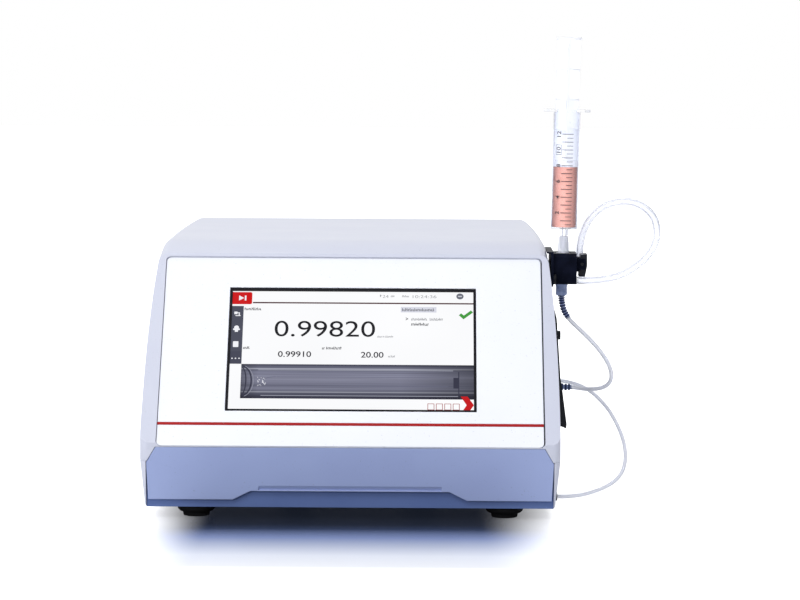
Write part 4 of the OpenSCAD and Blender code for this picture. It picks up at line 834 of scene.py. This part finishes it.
def corner_in(radius, distance):
    """How far a round corner has drawn in at a distance from its end."""
    if distance >= radius:
        return 0.0
    return radius - math.sqrt(max(0.0, radius ** 2 - (radius - distance) ** 2))


def inset_radius(radius, inset):
    return max(1.0, radius - inset)


def rear_in_draw(y):
    return REAR_DRAW * max(0, (y - DRAW_Y) / (BODY_D - DRAW_Y)) ** 2


def plan_half(y, inset):
    return (
        BODY_W / 2 - inset - rear_in_draw(y)
        - corner_in(inset_radius(FRONT_R, inset), y - inset)
        - corner_in(inset_radius(REAR_R, inset), BODY_D - inset - y)
    )


def top_height(y, inset):
    return (
        TOP_Z - inset
        - min(CREST_DROP, max(0, CREST_Y - y) ** 2 / (2 * CREST_R))
        - TOP_FALL * max(0, (y - CREST_Y) / (BODY_D - CREST_Y))
        - corner_in(inset_radius(EDGE_R, inset), BODY_D - inset - y)
    )


def plan_depths(inset):
    front = inset_radius(FRONT_R, inset)
    rear = inset_radius(REAR_R, inset)
    quarter = spread(0, math.pi / 2, 10)
    return (
        [inset + front * (1 - math.cos(a)) for a in quarter]
        + spread(CREST_EDGE_Y - 8, CREST_Y, 24)
        + spread(CREST_Y + 12, BODY_D - rear - inset - 6, 10)
        + [BODY_D - inset - rear * (1 - math.sin(a)) for a in quarter]
    )


def hood_ring(y, inset, low):
    radius = inset_radius(TOP_R, inset)
    bend_z = top_height(y, inset) - radius
    half = plan_half(y, inset)
    bend_x = half - side_lean(bend_z) - radius
    right = [(half - SEAM_CHAMFER, low)]
    right += [(half - side_lean(z), z) for z in spread(low + SEAM_CHAMFER, bend_z, 12)]
    right += [
        (bend_x + radius * math.cos(a), bend_z + radius * math.sin(a))
        for a in spread(0, math.pi / 2, 9)[1:]
    ]
    return [at(x, y, z) for x, z in right] + [at(-x, y, z) for x, z in reversed(right)]


def base_ring(z, inset):
    depth_in = inset + base_lean(z) + corner_in(FOOT_EDGE_R, z - BASE_Z)
    depths = plan_depths(depth_in)
    return (
        [at(plan_half(y, depth_in), y, z) for y in reversed(depths)]
        + [at(-plan_half(y, depth_in), y, z) for y in depths]
    )


FAR = 400.0


def block(name, low, high):
    """A plain cutter between two corners of the housing's frame."""
    points, faces = prism(at, rectangle(low[0], low[1], high[0], high[1]), low[2], high[2])
    return make_piece(name, points, faces)


def front_cutter(w):
    """Everything outside a plane that lies w outside the faceplate."""
    points, faces = prism(on_panel, rectangle(-FAR, -FAR, FAR, FAR), w, w + FAR)
    return make_piece("front_cutter", points, faces)


def skirt_outline(grown):
    top = PANEL_W / 2 + 0.5 + grown
    wide = BODY_W / 2 - SKIRT_INSET + grown
    low = SKIRT_BOTTOM - SKIRT_TOP - grown
    return [(-wide + 1.2, low), (wide - 1.2, low), (wide, -9.5), (top, grown), (-top, grown), (-wide, -9.5)]


def side_bores():
    """Cutters for everything that passes through the right side."""
    places = [
        # the block's passage, the return fitting, the socket, the gland and the deflector's two screws
        (ADAPTER_Y, 145.0, 15.0), (134.5, 147.9, 5.0), (150, 66, 7.2), (168, 68, 4.2),
        (82, 106.4, 3.2), (132, 106.4, 3.2),
    ]
    return [bore(at(BODY_W / 2 - 16, y, z), (1, 0, 0), d, 20) for y, z, d in places]


def make_hood():
    hood = solid("hood_shell", [hood_ring(y, 0, SEAM_Z) for y in plan_depths(0)])
    hollow = solid("hood_hollow", [hood_ring(y, WALL, SEAM_Z - 1) for y in plan_depths(WALL)])
    front_wall = block("front_wall", (-FAR, -FAR, -FAR), (FAR, HOOD_FRONT_IN, FAR))
    cut_away(hollow, front_cutter(-PANEL_T), front_wall)
    seat_w = PANEL_W + 2 * PANEL_GAP + SHADOW_LINE
    seat_h = PANEL_H + 2 * PANEL_GAP
    seat_outline = round_rectangle(SHADOW_LINE / 2, PANEL_H / 2, seat_w, seat_h, PANEL_R)
    seat = make_piece("panel_seat", *prism(on_panel, seat_outline, -PANEL_T - 4, 8))
    pocket = make_piece("skirt_pocket", *prism(on_skirt, skirt_outline(0.2), -SKIRT_BACK, 20))
    window = block(
        "rear_window", (-WINDOW_HALF, REAR_IN - 1, WINDOW_LOW), (WINDOW_HALF, BODY_D + 1, WINDOW_HIGH)
    )
    cut_away(hood, front_cutter(RIM_PROUD), hollow, seat, pocket, window, joined("side_bores", side_bores()))
    smooth(hood, 28)
    return dress(hood, FINISH["shell_white"], "housing", "shell_white", "hood")


def make_base():
    levels = [BASE_Z + FOOT_EDGE_R * (1 - math.cos(a)) for a in spread(0, math.pi / 2, 6)]
    rings = [base_ring(z, 0) for z in levels]
    rings.append(base_ring(SEAM_Z - SEAM_CHAMFER, 0))
    rings.append(base_ring(SEAM_Z, SEAM_CHAMFER))
    base = solid("base_shell", rings)
    hollow = solid("base_hollow", [base_ring(z, WALL) for z in (BASE_Z + WALL, SEAM_Z + 1)])
    cut_away(hollow, block("base_lip", (-FAR, -FAR, -FAR), (FAR, BASE_FRONT + WALL, FAR)))
    front_half = BODY_W / 2 - SKIRT_INSET + 0.2
    notch = block("front_notch", (-front_half, -1, BASE_Z - 1), (front_half, BASE_FRONT, SEAM_Z + 1))
    cut_away(base, hollow, notch)
    smooth(base, 28)
    return dress(base, FINISH["shell_white"], "housing", "shell_white", "base_tray")


def make_recess_back():
    """A thin dark blue sheet of painted shade on the base's front, behind the chin, seen in its recess and
    below its edge.
    """
    thick = 0.12
    half = BODY_W / 2 - SKIRT_INSET
    back = block(
        "recess_painted_shade", (-half, BASE_FRONT - thick - 0.03, BASE_Z + 0.02), (half, BASE_FRONT - 0.03, SEAM_Z)
    )
    return dress(back, FINISH["chin_shade"], "housing", "chin_blue")


make_hood()
make_base()
make_recess_back()

# ---------- Display ----------

SHEET = 0.03


def show(name, colour_at):
    """A material of the display that gives off the colour which colour_at(tree, place) returns."""
    material, tree, shader, place = blank(name)
    points = use(tree, PIXELS, {"Place": place, "Colour": colour_at(tree, place)})
    gloss = use(tree, HANDLING, {"Place": place, "Roughness": 0.12, "Spread": 0.05})
    wire(tree, shader, {
        "Emission Color": points["Colour"], "Emission Strength": 1.0, "Roughness": gloss["Roughness"],
        "Base Color": (0.004, 0.004, 0.005, 1), "Specular IOR Level": 0.07,
    })
    return material


def lit_picture(name, colour):
    """A plain colour that the display shows."""
    return show(name, lambda tree, place: rgba(colour))


def picture_layer(name, colour, outlines, level):
    """Flat shapes of one colour on the glass. A higher level lies over a lower one."""
    low = GLASS_FACE + SHEET * level
    piece = joined(name, [prism(on_panel, outline, low, low + SHEET) for outline in outlines])
    return dress(piece, lit_picture(name, colour), "housing", "display_glass")


def letters(text, height, width, thinner=0.0):
    """Points and faces of plain figures, height by width, from their lower left corner, in millimetres."""
    curve = bpy.data.curves.new("figures", "FONT")
    curve.body = text
    curve.size = 1.0
    curve.resolution_u = 6
    curve.offset = -thinner
    holder = bpy.data.objects.new("figures", curve)
    bpy.context.scene.collection.objects.link(holder)
    graph = bpy.context.evaluated_depsgraph_get()
    mesh = bpy.data.meshes.new_from_object(holder.evaluated_get(graph))
    bpy.data.objects.remove(holder)
    low_x, low_y = (min(v.co[k] for v in mesh.vertices) for k in (0, 1))
    high_x, high_y = (max(v.co[k] for v in mesh.vertices) for k in (0, 1))
    across, up = width / (high_x - low_x), height / (high_y - low_y)
    points = [((v.co.x - low_x) * across, (v.co.y - low_y) * up) for v in mesh.vertices]
    faces = [tuple(p.vertices) for p in mesh.polygons]
    return points, faces


def figures(name, colour, items, level, thinner=0.0):
    """Plain figures on the display: items are (text, x, v, width, height)."""
    parts = []
    w = GLASS_FACE + SHEET * (level + 1)
    for text, x, v, width, height in items:
        points, faces = letters(text, height, width, thinner)
        parts.append(([on_panel(x + a, v + b, w) for a, b in points], faces))
    piece = joined(name, parts)
    return dress(piece, lit_picture(name, colour), "housing", "display_glass")


def word_marks(x, v, widths, height=1.6, gap=1.0):
    """Small upright strokes in the place of a line of words, too fine to be read."""
    marks, start = [], x
    draw = random.Random(int(abs(x) * 10 + v))
    for width in widths:
        pitch = height * 0.42
        for i in range(max(1, round(width / pitch))):
            left = start + i * pitch
            top = v + height * draw.choice((0.72, 0.72, 1.0))
            bar = v + height * draw.choice((0.0, 0.3, 0.56))
            marks.append(rectangle(left, v, left + pitch * 0.46, top))
            marks.append(rectangle(left, bar, left + pitch * 0.86, bar + height * 0.2))
        start += width + gap
    return marks


def make_display():
    left, right, low, high = -75.8, 75.8, SCREEN_V - 45.3, SCREEN_V + 45.3
    side, strip_top, strip_low = -68.6, 62.2, 36.4
    picture_layer("picture_ground", (0.98, 0.985, 1.0), [rectangle(left, low, right, high)], 0)
    picture_layer("picture_red_line", (0.055, 0.004, 0.008), [rectangle(-63.0, 108.8, right, 109.8)], 1)
    tab = [rectangle(left, 108.0, -64.5, high - 0.8), round_rectangle(-65.0, 112.7, 3.0, 9.4, 1.2)]
    picture_layer("picture_red_tab", (0.62, 0.006, 0.006), tab, 2)
    picture_layer("picture_side_bar", (0.072, 0.076, 0.107), [rectangle(left, 71.9, side, 106.6)], 1)
    picture_layer("picture_side_end", (0.060, 0.063, 0.095), [rectangle(left, 62.3, side, 71.9)], 1)
    picture_layer("picture_icons", (0.9, 0.91, 0.95), side_icons() + tab_mark(), 3)
    picture_layer("picture_words", (0.06, 0.06, 0.07), (
        word_marks(-68.0, 103.4, [10.6], 2.1)
        + word_marks(-68.0, 73.6, [3.8], 2.0)
        + word_marks(-18.7, 73.6, [1.4, 9.6], 2.1, 1.2)
        + word_marks(36.8, 92.2, [11.0], 2.2)
    ), 1)
    picture_layer("picture_pale_words", (0.30, 0.305, 0.33), (
        word_marks(15.6, 83.0, [3.0, 1.0, 5.0], 1.4, 0.4)
        + word_marks(36.8, 96.2, [10.0, 8.6], 2.0, 1.6)
        + word_marks(22.6, 67.8, [1.2, 2.6], 1.6, 0.4)
        + word_marks(31.0, 114.2, [4.6], 1.5, 0.5)
        + word_marks(23.8, 114.2, [2.4], 1.5, 0.5)
        + word_marks(17.0, 114.2, [1.0], 2.6, 0.4)
    ), 1)
    picture_layer("picture_label_ground", (0.70, 0.71, 0.80), [rectangle(30.2, 102.4, 52.6, 106.6)], 1)
    picture_layer("picture_label", (0.16, 0.165, 0.19), word_marks(31.0, 103.3, [20.6], 2.3), 2)
    figures("picture_reading", (0.008, 0.008, 0.011), [
        ("0.99820", -48.7, 83.3, 62.9, 12.1),
    ], 1, thinner=0.002)
    figures("picture_values", (0.03, 0.03, 0.037), [
        ("0.99910", -46.1, 67.7, 20.7, 4.4), ("20.00", 5.6, 67.5, 14.1, 4.4), (">", 33.3, 96.3, 1.6, 2.2),
    ], 1, thinner=-0.012)
    figures("picture_clock", (0.36, 0.365, 0.39), [
        ("24", 18.6, 113.5, 3.8, 2.3), ("10:24:36", 37.6, 113.5, 15.0, 2.3),
    ], 1)
    picture_layer("picture_round_mark", (0.14, 0.15, 0.19), [disc(67.4, 115.0, 2.3)], 1)
    picture_layer("picture_tick", (0.055, 0.33, 0.045), [[
        (66.7, 100.4), (69.6, 97.3), (75.6, 102.6), (74.3, 104.2), (69.8, 100.2), (68.1, 101.9),
    ]], 1)
    bar = round_rectangle(67.4, 115.0, 2.6, 0.9, 0.4, 3)
    picture_layer("picture_round_core", (0.62, 0.63, 0.68), [bar], 2)
    make_cell_picture(side, strip_low, right, strip_top)
    picture_layer("picture_end_marks", (0.36, 0.03, 0.03), [
        rim for x in (49.3, 54.5, 59.7, 64.9) for rim in ring_marks(x, 30.9, 4.2, 4.8)
    ], 1)
    arrow = [
        (67.6, 38.6), (71.9, 38.6), (75.8, 32.2), (71.9, 25.6), (67.6, 25.6), (71.3, 32.2),
    ]
    picture_layer("picture_arrow", (0.56, 0.006, 0.008), [arrow], 5)


def side_icons():
    """Plain signs in the side bar: a page, a ring of three bars, a list, and three dots."""
    return [
        rectangle(-74.4, 100.2, -72.4, 102.2), rectangle(-73.6, 98.8, -70.4, 99.4),
        rectangle(-71.6, 98.8, -70.9, 101.6), rectangle(-73.6, 101.0, -70.9, 101.6),
        disc(-72.6, 90.0, 1.5), round_rectangle(-72.6, 88.6, 4.4, 1.3, 0.6, 3),
        rectangle(-73.6, 86.6, -71.6, 88.0),
        round_rectangle(-72.7, 77.2, 3.4, 4.4, 0.4, 3),
        disc(-74.6, 66.4, 0.5, 12), disc(-72.4, 66.4, 0.5, 12), disc(-70.2, 66.4, 0.5, 12),
    ]


def ring_marks(x, v, width, height):
    """Four thin strokes round an upright rectangle."""
    line = 0.38
    left, right, low, high = x - width / 2, x + width / 2, v - height / 2, v + height / 2
    return [
        rectangle(left, low, right, low + line), rectangle(left, high - line, right, high),
        rectangle(left, low, left + line, high), rectangle(right - line, low, right, high),
    ]


def tab_mark():
    return [[(-71.8, 110.8), (-68.6, 112.8), (-71.8, 114.8)], rectangle(-68.2, 110.9, -67.2, 114.7)]


def strip_colour(tree, place):
    """What the camera in the cell sees: a glass tube along the strip, in lilac greys."""
    across, _, up = add(tree, "ShaderNodeSeparateXYZ", {0: place}).outputs
    height = mapped(tree, up, on_panel(0, 36.4, 0).z, on_panel(0, 62.2, 0).z)
    bands = colour_bands(tree, height, [
        (0.0, (0.045, 0.046, 0.075)), (0.04, (0.075, 0.077, 0.115)), (0.10, (0.10, 0.103, 0.15)),
        (0.125, (0.44, 0.45, 0.53)), (0.15, (0.16, 0.165, 0.23)), (0.24, (0.23, 0.235, 0.32)),
        (0.30, (0.18, 0.185, 0.26)), (0.52, (0.27, 0.275, 0.37)), (0.70, (0.21, 0.215, 0.30)),
        (0.77, (0.15, 0.155, 0.22)), (0.80, (0.46, 0.47, 0.56)), (0.83, (0.17, 0.175, 0.245)),
        (0.90, (0.085, 0.087, 0.13)), (0.955, (0.06, 0.061, 0.095)), (1.0, (0.022, 0.022, 0.045)),
    ])
    lines = noise(tree, stretched(tree, place, (8.0, 900.0, 900.0)), 1.0, 2.0)
    shine = mapped(tree, lines, 0.3, 0.7, 0.70, 1.02)
    from_left = mapped(tree, across, on_panel(-69, 0, 0).x, on_panel(-58, 0, 0).x, 0.5, 1.0)
    from_right = mapped(tree, across, on_panel(76, 0, 0).x, on_panel(30, 0, 0).x, 0.42, 1.0)
    ends = calculate(tree, "MULTIPLY", from_left, from_right)
    return dimmed(tree, bands, calculate(tree, "MULTIPLY", ends, shine))


def bow(x, v, radius_x, radius_v, width, first, last):
    """A curved line of the given width along part of an oval, between two angles in degrees."""
    outer, inner = [], []
    for a in spread(math.radians(first), math.radians(last), 20):
        outer.append((x + radius_x * math.cos(a), v + radius_v * math.sin(a)))
        inner.append((x + (radius_x - width) * math.cos(a), v + (radius_v - width) * math.sin(a)))
    return outer + inner[::-1]


def make_cell_picture(left, low, right, high):
    """The strip that shows the filled glass tube: its ends, a few bubbles and the dark stop at the right."""
    middle = (low + high) / 2
    low_w = GLASS_FACE + SHEET
    outline = rectangle(left, low, right, high)
    strip = make_piece("picture_strip", *prism(on_panel, outline, low_w, low_w + SHEET))
    dress(strip, show("cell_picture", strip_colour), "housing", "display_glass")
    dark = bow(left + 0.4, middle, 6.6, 11.6, 0.9, -84, 84)
    shade = bow(left + 0.2, middle, 3.4, 10.8, 0.8, -80, 80)
    stop = [rectangle(63.2, 44.6, 66.2, 52.6), rectangle(66.2, 38.4, 66.8, 57.0)]
    picture_layer("picture_tube_shade", (0.035, 0.036, 0.062), [dark, shade, *stop], 3)
    inner = [
        bow(-46.0, middle, 9.5, 3.6, 0.35, 95, 265), rectangle(-46.5, middle + 3.2, 60.0, middle + 3.5),
        rectangle(-46.5, middle - 3.5, 60.0, middle - 3.2),
    ]
    picture_layer("picture_tube_bore", (0.13, 0.135, 0.20), inner, 3)
    picture_layer("picture_tube_shine", (0.33, 0.34, 0.41), [
        rectangle(-58.0, high - 4.6, 63.0, high - 4.1), rectangle(-56.0, low + 2.0, 66.0, low + 2.5),
        bow(left + 0.4, middle, 7.6, 11.9, 0.3, -75, 75),
    ], 2)
    draw = random.Random(7)
    bubbles = []
    for _ in range(22):
        x = -58.5 + draw.random() * 6.0
        v = middle + (draw.random() - 0.5) * 8.0
        bubbles.append(disc(x, v, 0.18 + 0.2 * draw.random(), 10))
    picture_layer("picture_bubbles", (0.85, 0.86, 0.92), bubbles, 4)


make_display()

# ---------- Syringe ----------


def on_barrel(angle, t, lift=0.0):
    """A point on the barrel's outside: angle from the front towards the right."""
    r = BARREL_R + lift
    return on_inlet(r * math.sin(angle), -r * math.cos(angle), t)


def make_scale():
    """Lines at each millilitre and half millilitre, printed on the barrel."""
    parts = []
    right_end, long_end, short_end = 29.0, -20.0, 2.0
    for half in range(25):
        t = BARREL_LOW + 0.6 + half * ML_LENGTH / 2
        left_end = short_end if half % 2 else long_end
        thick = 0.17 if half % 2 else 0.2
        angles = [math.radians(a) for a in spread(left_end, right_end, 8)]
        rings = [[
            on_barrel(a, t - thick, 0.02), on_barrel(a, t - thick, 0.06),
            on_barrel(a, t + thick, 0.06), on_barrel(a, t + thick, 0.02),
        ] for a in angles]
        points, faces = loft(rings)
        parts.append((points, outwards(points, faces)))
    scale = joined("syringe_scale", parts)
    return dress(scale, FINISH["ink_dark"], "syringe", "barrel_clear")


def make_numbers():
    """The numbers of the scale, which read along the barrel."""
    parts = []
    for number in (2, 4, 6, 8, 10, 12):
        width = 1.9 * len(str(number))
        points, faces = letters(str(number), 3.0, width, thinner=-0.01)
        t = BARREL_LOW + 0.6 + number * ML_LENGTH
        parts.append((
            [on_barrel(math.radians(-26) - b / BARREL_R, t + a - width / 2, 0.03) for a, b in points], faces,
        ))
    frame_t = BARREL_LOW + 0.6 + 10 * ML_LENGTH
    for sides in box_lines(frame_t):
        parts.append(sides)
    numbers = joined("syringe_numbers", parts)
    return dress(numbers, FINISH["ink_dark"], "syringe", "barrel_clear")


def box_lines(t):
    """A thin frame round the number of the nominal volume."""
    a0, a1 = math.radians(-50), math.radians(-22)
    t0, t1, line = t - 3.2, t + 3.2, 0.25
    spans = [
        (a0, a1, t0, t0 + line), (a0, a1, t1 - line, t1),
        (a0, a0 + line / BARREL_R, t0, t1), (a1 - line / BARREL_R, a1, t0, t1),
    ]
    parts = []
    for low_a, high_a, low_t, high_t in spans:
        points = [on_barrel(a, q, 0.03) for a in spread(low_a, high_a, 8) for q in (low_t, high_t)]
        faces = [(2 * i, 2 * i + 2, 2 * i + 3, 2 * i + 1) for i in range(8)]
        parts.append((points, faces))
    return parts


def make_sample():
    """The sample in the barrel."""
    r = BORE_R - 0.1
    rounding = 0.5
    low_bend = SAMPLE_LOW + 0.03 + rounding
    profile = [(AXIS, SAMPLE_LOW + 0.03)]
    profile += [
        (r - rounding + rounding * math.sin(a), low_bend - rounding * math.cos(a))
        for a in spread(0, math.pi / 2, 5)
    ]
    profile += [(r, t) for t in spread(SAMPLE_LOW + 2, SAMPLE_HIGH - 2, 12)]
    profile += [(r, SAMPLE_HIGH - 0.06), (r - rounding, SAMPLE_HIGH - 0.2), (AXIS, SAMPLE_HIGH - 0.2)]
    sample = turned("sample_in_barrel", profile, on_inlet)
    sample.data.materials.append(FINISH["sample_salmon"])
    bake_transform(sample)
    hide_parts("sample_liquid")


make_scale()
make_numbers()
make_sample()


def make_plug():
    """The plug under the block, with its collar and finger grooves."""
    x, y, low = PLUG_FOOT
    top = 136.3

    def place(a, b, z):
        return at(x + a, y + b, z)

    profile = [(AXIS, low), (3.0, low), (3.55, low + 0.5), (3.7, low + 1.4)]
    for i in range(4):
        z = low + 2.0 + i * 0.9
        profile += [(3.7, z), (3.5, z + 0.2), (3.5, z + 0.5), (3.7, z + 0.7)]
    profile += [
        (3.75, low + 6.2), (3.84, low + 6.5), (3.84, top), (2.28, top), (2.28, top + 1.7), (AXIS, top + 1.7),
    ]
    plug = turned("plug_body", profile, place)
    return dress(plug, FINISH["plug_blue"], "housing", "plug_blue", "sensor_plug")


make_plug()


def make_latch_seat():
    """The dark cheek of the block below the pin, which falls back with the swing of the lever's tail."""

    def beside(x, z, y):
        return at(ADAPTER_END + x, y, z)

    outline = [(-0.5, 140.0), (0.1, 140.0), (0.85, 146.4), (-0.5, 146.4)]
    seat = make_piece("latch_seat", *prism(beside, outline, 114.4, 127.6))
    return dress(seat, FINISH["adapter_black"], "housing", "adapter_black")


make_latch_seat()

# ---------- Nodes that keep their own shape ----------

SOFT_EDGED = {
    "front_skirt": 0.5, "faceplate": 0.35, "adapter_block": 0.5, "adapter_plate": 0.2, "latch_lever": 0.4,
    "spill_deflector": 0.5, "mains_inlet": 0.4, "fuse_drawer": 0.3, "switch_housing": 0.4,
    "rocker_switch": 0.4, "data_ports": 0.15, "fan_housing": 0.3, "feet": 0.4,
}


def soften(node, width):
    """Rounds the sharp edges of a node's shape."""
    weld = node.modifiers.new("Weld", "WELD")
    weld.merge_threshold = 0.000005
    flat = node.modifiers.new("Flat faces", "DECIMATE")
    flat.decimate_type = "DISSOLVE"
    flat.angle_limit = math.radians(1)
    bevel = node.modifiers.new("Soft edges", "BEVEL")
    bevel.width = width * MM
    bevel.segments = 2
    bevel.limit_method = "ANGLE"
    bevel.angle_limit = math.radians(35)
    bevel.harden_normals = True


BLACKENED = ("latch_pin", "adapter_screws", "deflector_screws")

for name, node in NODES.items():
    node.data.materials.clear()
    node.data.materials.append(FINISH["blackened_steel" if name in BLACKENED else SLOT_OF_NODE[name]])
    if name in SOFT_EDGED:
        soften(node, SOFT_EDGED[name])

# ---------- Floor and light ----------

FLOOR_LIFT = 0.75


def make_floor():
    """A white glossy floor: white to the camera, with a painted shadow and painted reflection of the housing
    under and in front of it.
    """
    corners = [(x, y, -0.0002) for x, y in rectangle(-6.0, -6.0, 6.0, 6.0)]
    floor = make_piece("floor", corners, [(0, 1, 2, 3)])
    material, tree, shader, place = blank("floor_white")
    gloss = use(tree, HANDLING, {"Place": place, "Roughness": 0.2, "Spread": 0.03})
    across, back, _ = add(tree, "ShaderNodeSeparateXYZ", {0: place}).outputs
    # Painted shadow and reflection: dark blue-grey under the housing, fading to white about 200 mm in front
    # of it, and kept off its sides and back.
    forward = mapped(tree, back, at(0, 30, 0).y, at(0, -200, 0).y)
    shade = colour_bands(tree, forward, [
        (0.0, (0.010, 0.013, 0.023)), (0.20, (0.010, 0.013, 0.023)), (0.28, (0.016, 0.023, 0.046)),
        (0.42, (0.125, 0.158, 0.28)), (0.56, (0.30, 0.325, 0.40)), (0.70, (0.49, 0.505, 0.54)),
        (0.86, (0.56, 0.565, 0.57)), (0.97, (1.0, 1.0, 1.0)),
    ])
    left, right, rear = (
        mapped(tree, value, outer, inner, interpolation_type="SMOOTHSTEP") for value, outer, inner in (
            (across, at(-136, 0, 0).x, at(-84, 0, 0).x), (across, at(148, 0, 0).x, at(78, 0, 0).x),
            (back, at(0, BODY_D - 10, 0).y, at(0, BODY_D - 60, 0).y),
        )
    )
    share = calculate(tree, "MULTIPLY", calculate(tree, "MULTIPLY", left, right), rear)
    floor_with_painted_shadow = mixed(tree, share, (1, 1, 1, 1), shade)
    wire(tree, shader, {
        "Base Color": floor_with_painted_shadow, "Roughness": gloss["Roughness"], "Specular IOR Level": 0.12,
    })
    path = tree.nodes.new("ShaderNodeLightPath").outputs
    seen = calculate(tree, "MAXIMUM", path["Is Camera Ray"], path["Is Transmission Ray"])
    lift = calculate(tree, "MULTIPLY", seen, FLOOR_LIFT)
    glow = add(tree, "ShaderNodeEmission", {"Color": floor_with_painted_shadow, "Strength": lift})
    total = add(tree, "ShaderNodeAddShader", {0: shader.outputs[0], 1: glow.outputs[0]})
    wire(tree, node_of(tree, "OUTPUT_MATERIAL"), {0: total.outputs[0]})
    floor.data.materials.append(material)


def make_world():
    """Even studio light, and plain white where the camera or a shiny surface sees the background."""
    world = bpy.data.worlds.new("studio")
    world.use_nodes = True
    tree = world.node_tree
    tree.nodes.clear()
    path = tree.nodes.new("ShaderNodeLightPath").outputs
    seen = calculate(tree, "MAXIMUM", path["Is Camera Ray"], path["Is Glossy Ray"])
    passed = calculate(tree, "MAXIMUM", seen, path["Is Transmission Ray"])
    light = add(tree, "ShaderNodeBackground", {"Color": (0.90, 0.93, 1.0, 1), "Strength": 0.55})
    white = add(tree, "ShaderNodeBackground", {"Color": (1, 1, 1, 1), "Strength": 1.0})
    mix = add(tree, "ShaderNodeMixShader", {0: passed, 1: light.outputs[0], 2: white.outputs[0]})
    tree.links.new(mix.outputs[0], tree.nodes.new("ShaderNodeOutputWorld").inputs[0])
    bpy.context.scene.world = world


def softbox(name, place, width, height, power):
    """A large even light that faces the object."""
    data = bpy.data.lights.new(name, "AREA")
    data.shape = "RECTANGLE"
    data.size = width
    data.size_y = height
    data.energy = power
    lamp = bpy.data.objects.new(name, data)
    lamp.location = place
    lamp.rotation_mode = "QUATERNION"
    lamp.rotation_quaternion = (Vector((0, 0, 0.1)) - Vector(place)).to_track_quat("-Z", "Y")
    bpy.context.scene.collection.objects.link(lamp)


make_floor()
make_world()
softbox("overhead_softbox", (-0.35, 0.45, 1.9), 1.6, 1.2, 10.0)
softbox("upper_softbox", (-0.6, -1.5, 1.75), 1.2, 0.8, 13.0)
softbox("front_softbox", (-1.3, -2.5, 0.8), 1.4, 1.0, 19.5)

scene = bpy.context.scene
scene.view_settings.view_transform = "Standard"
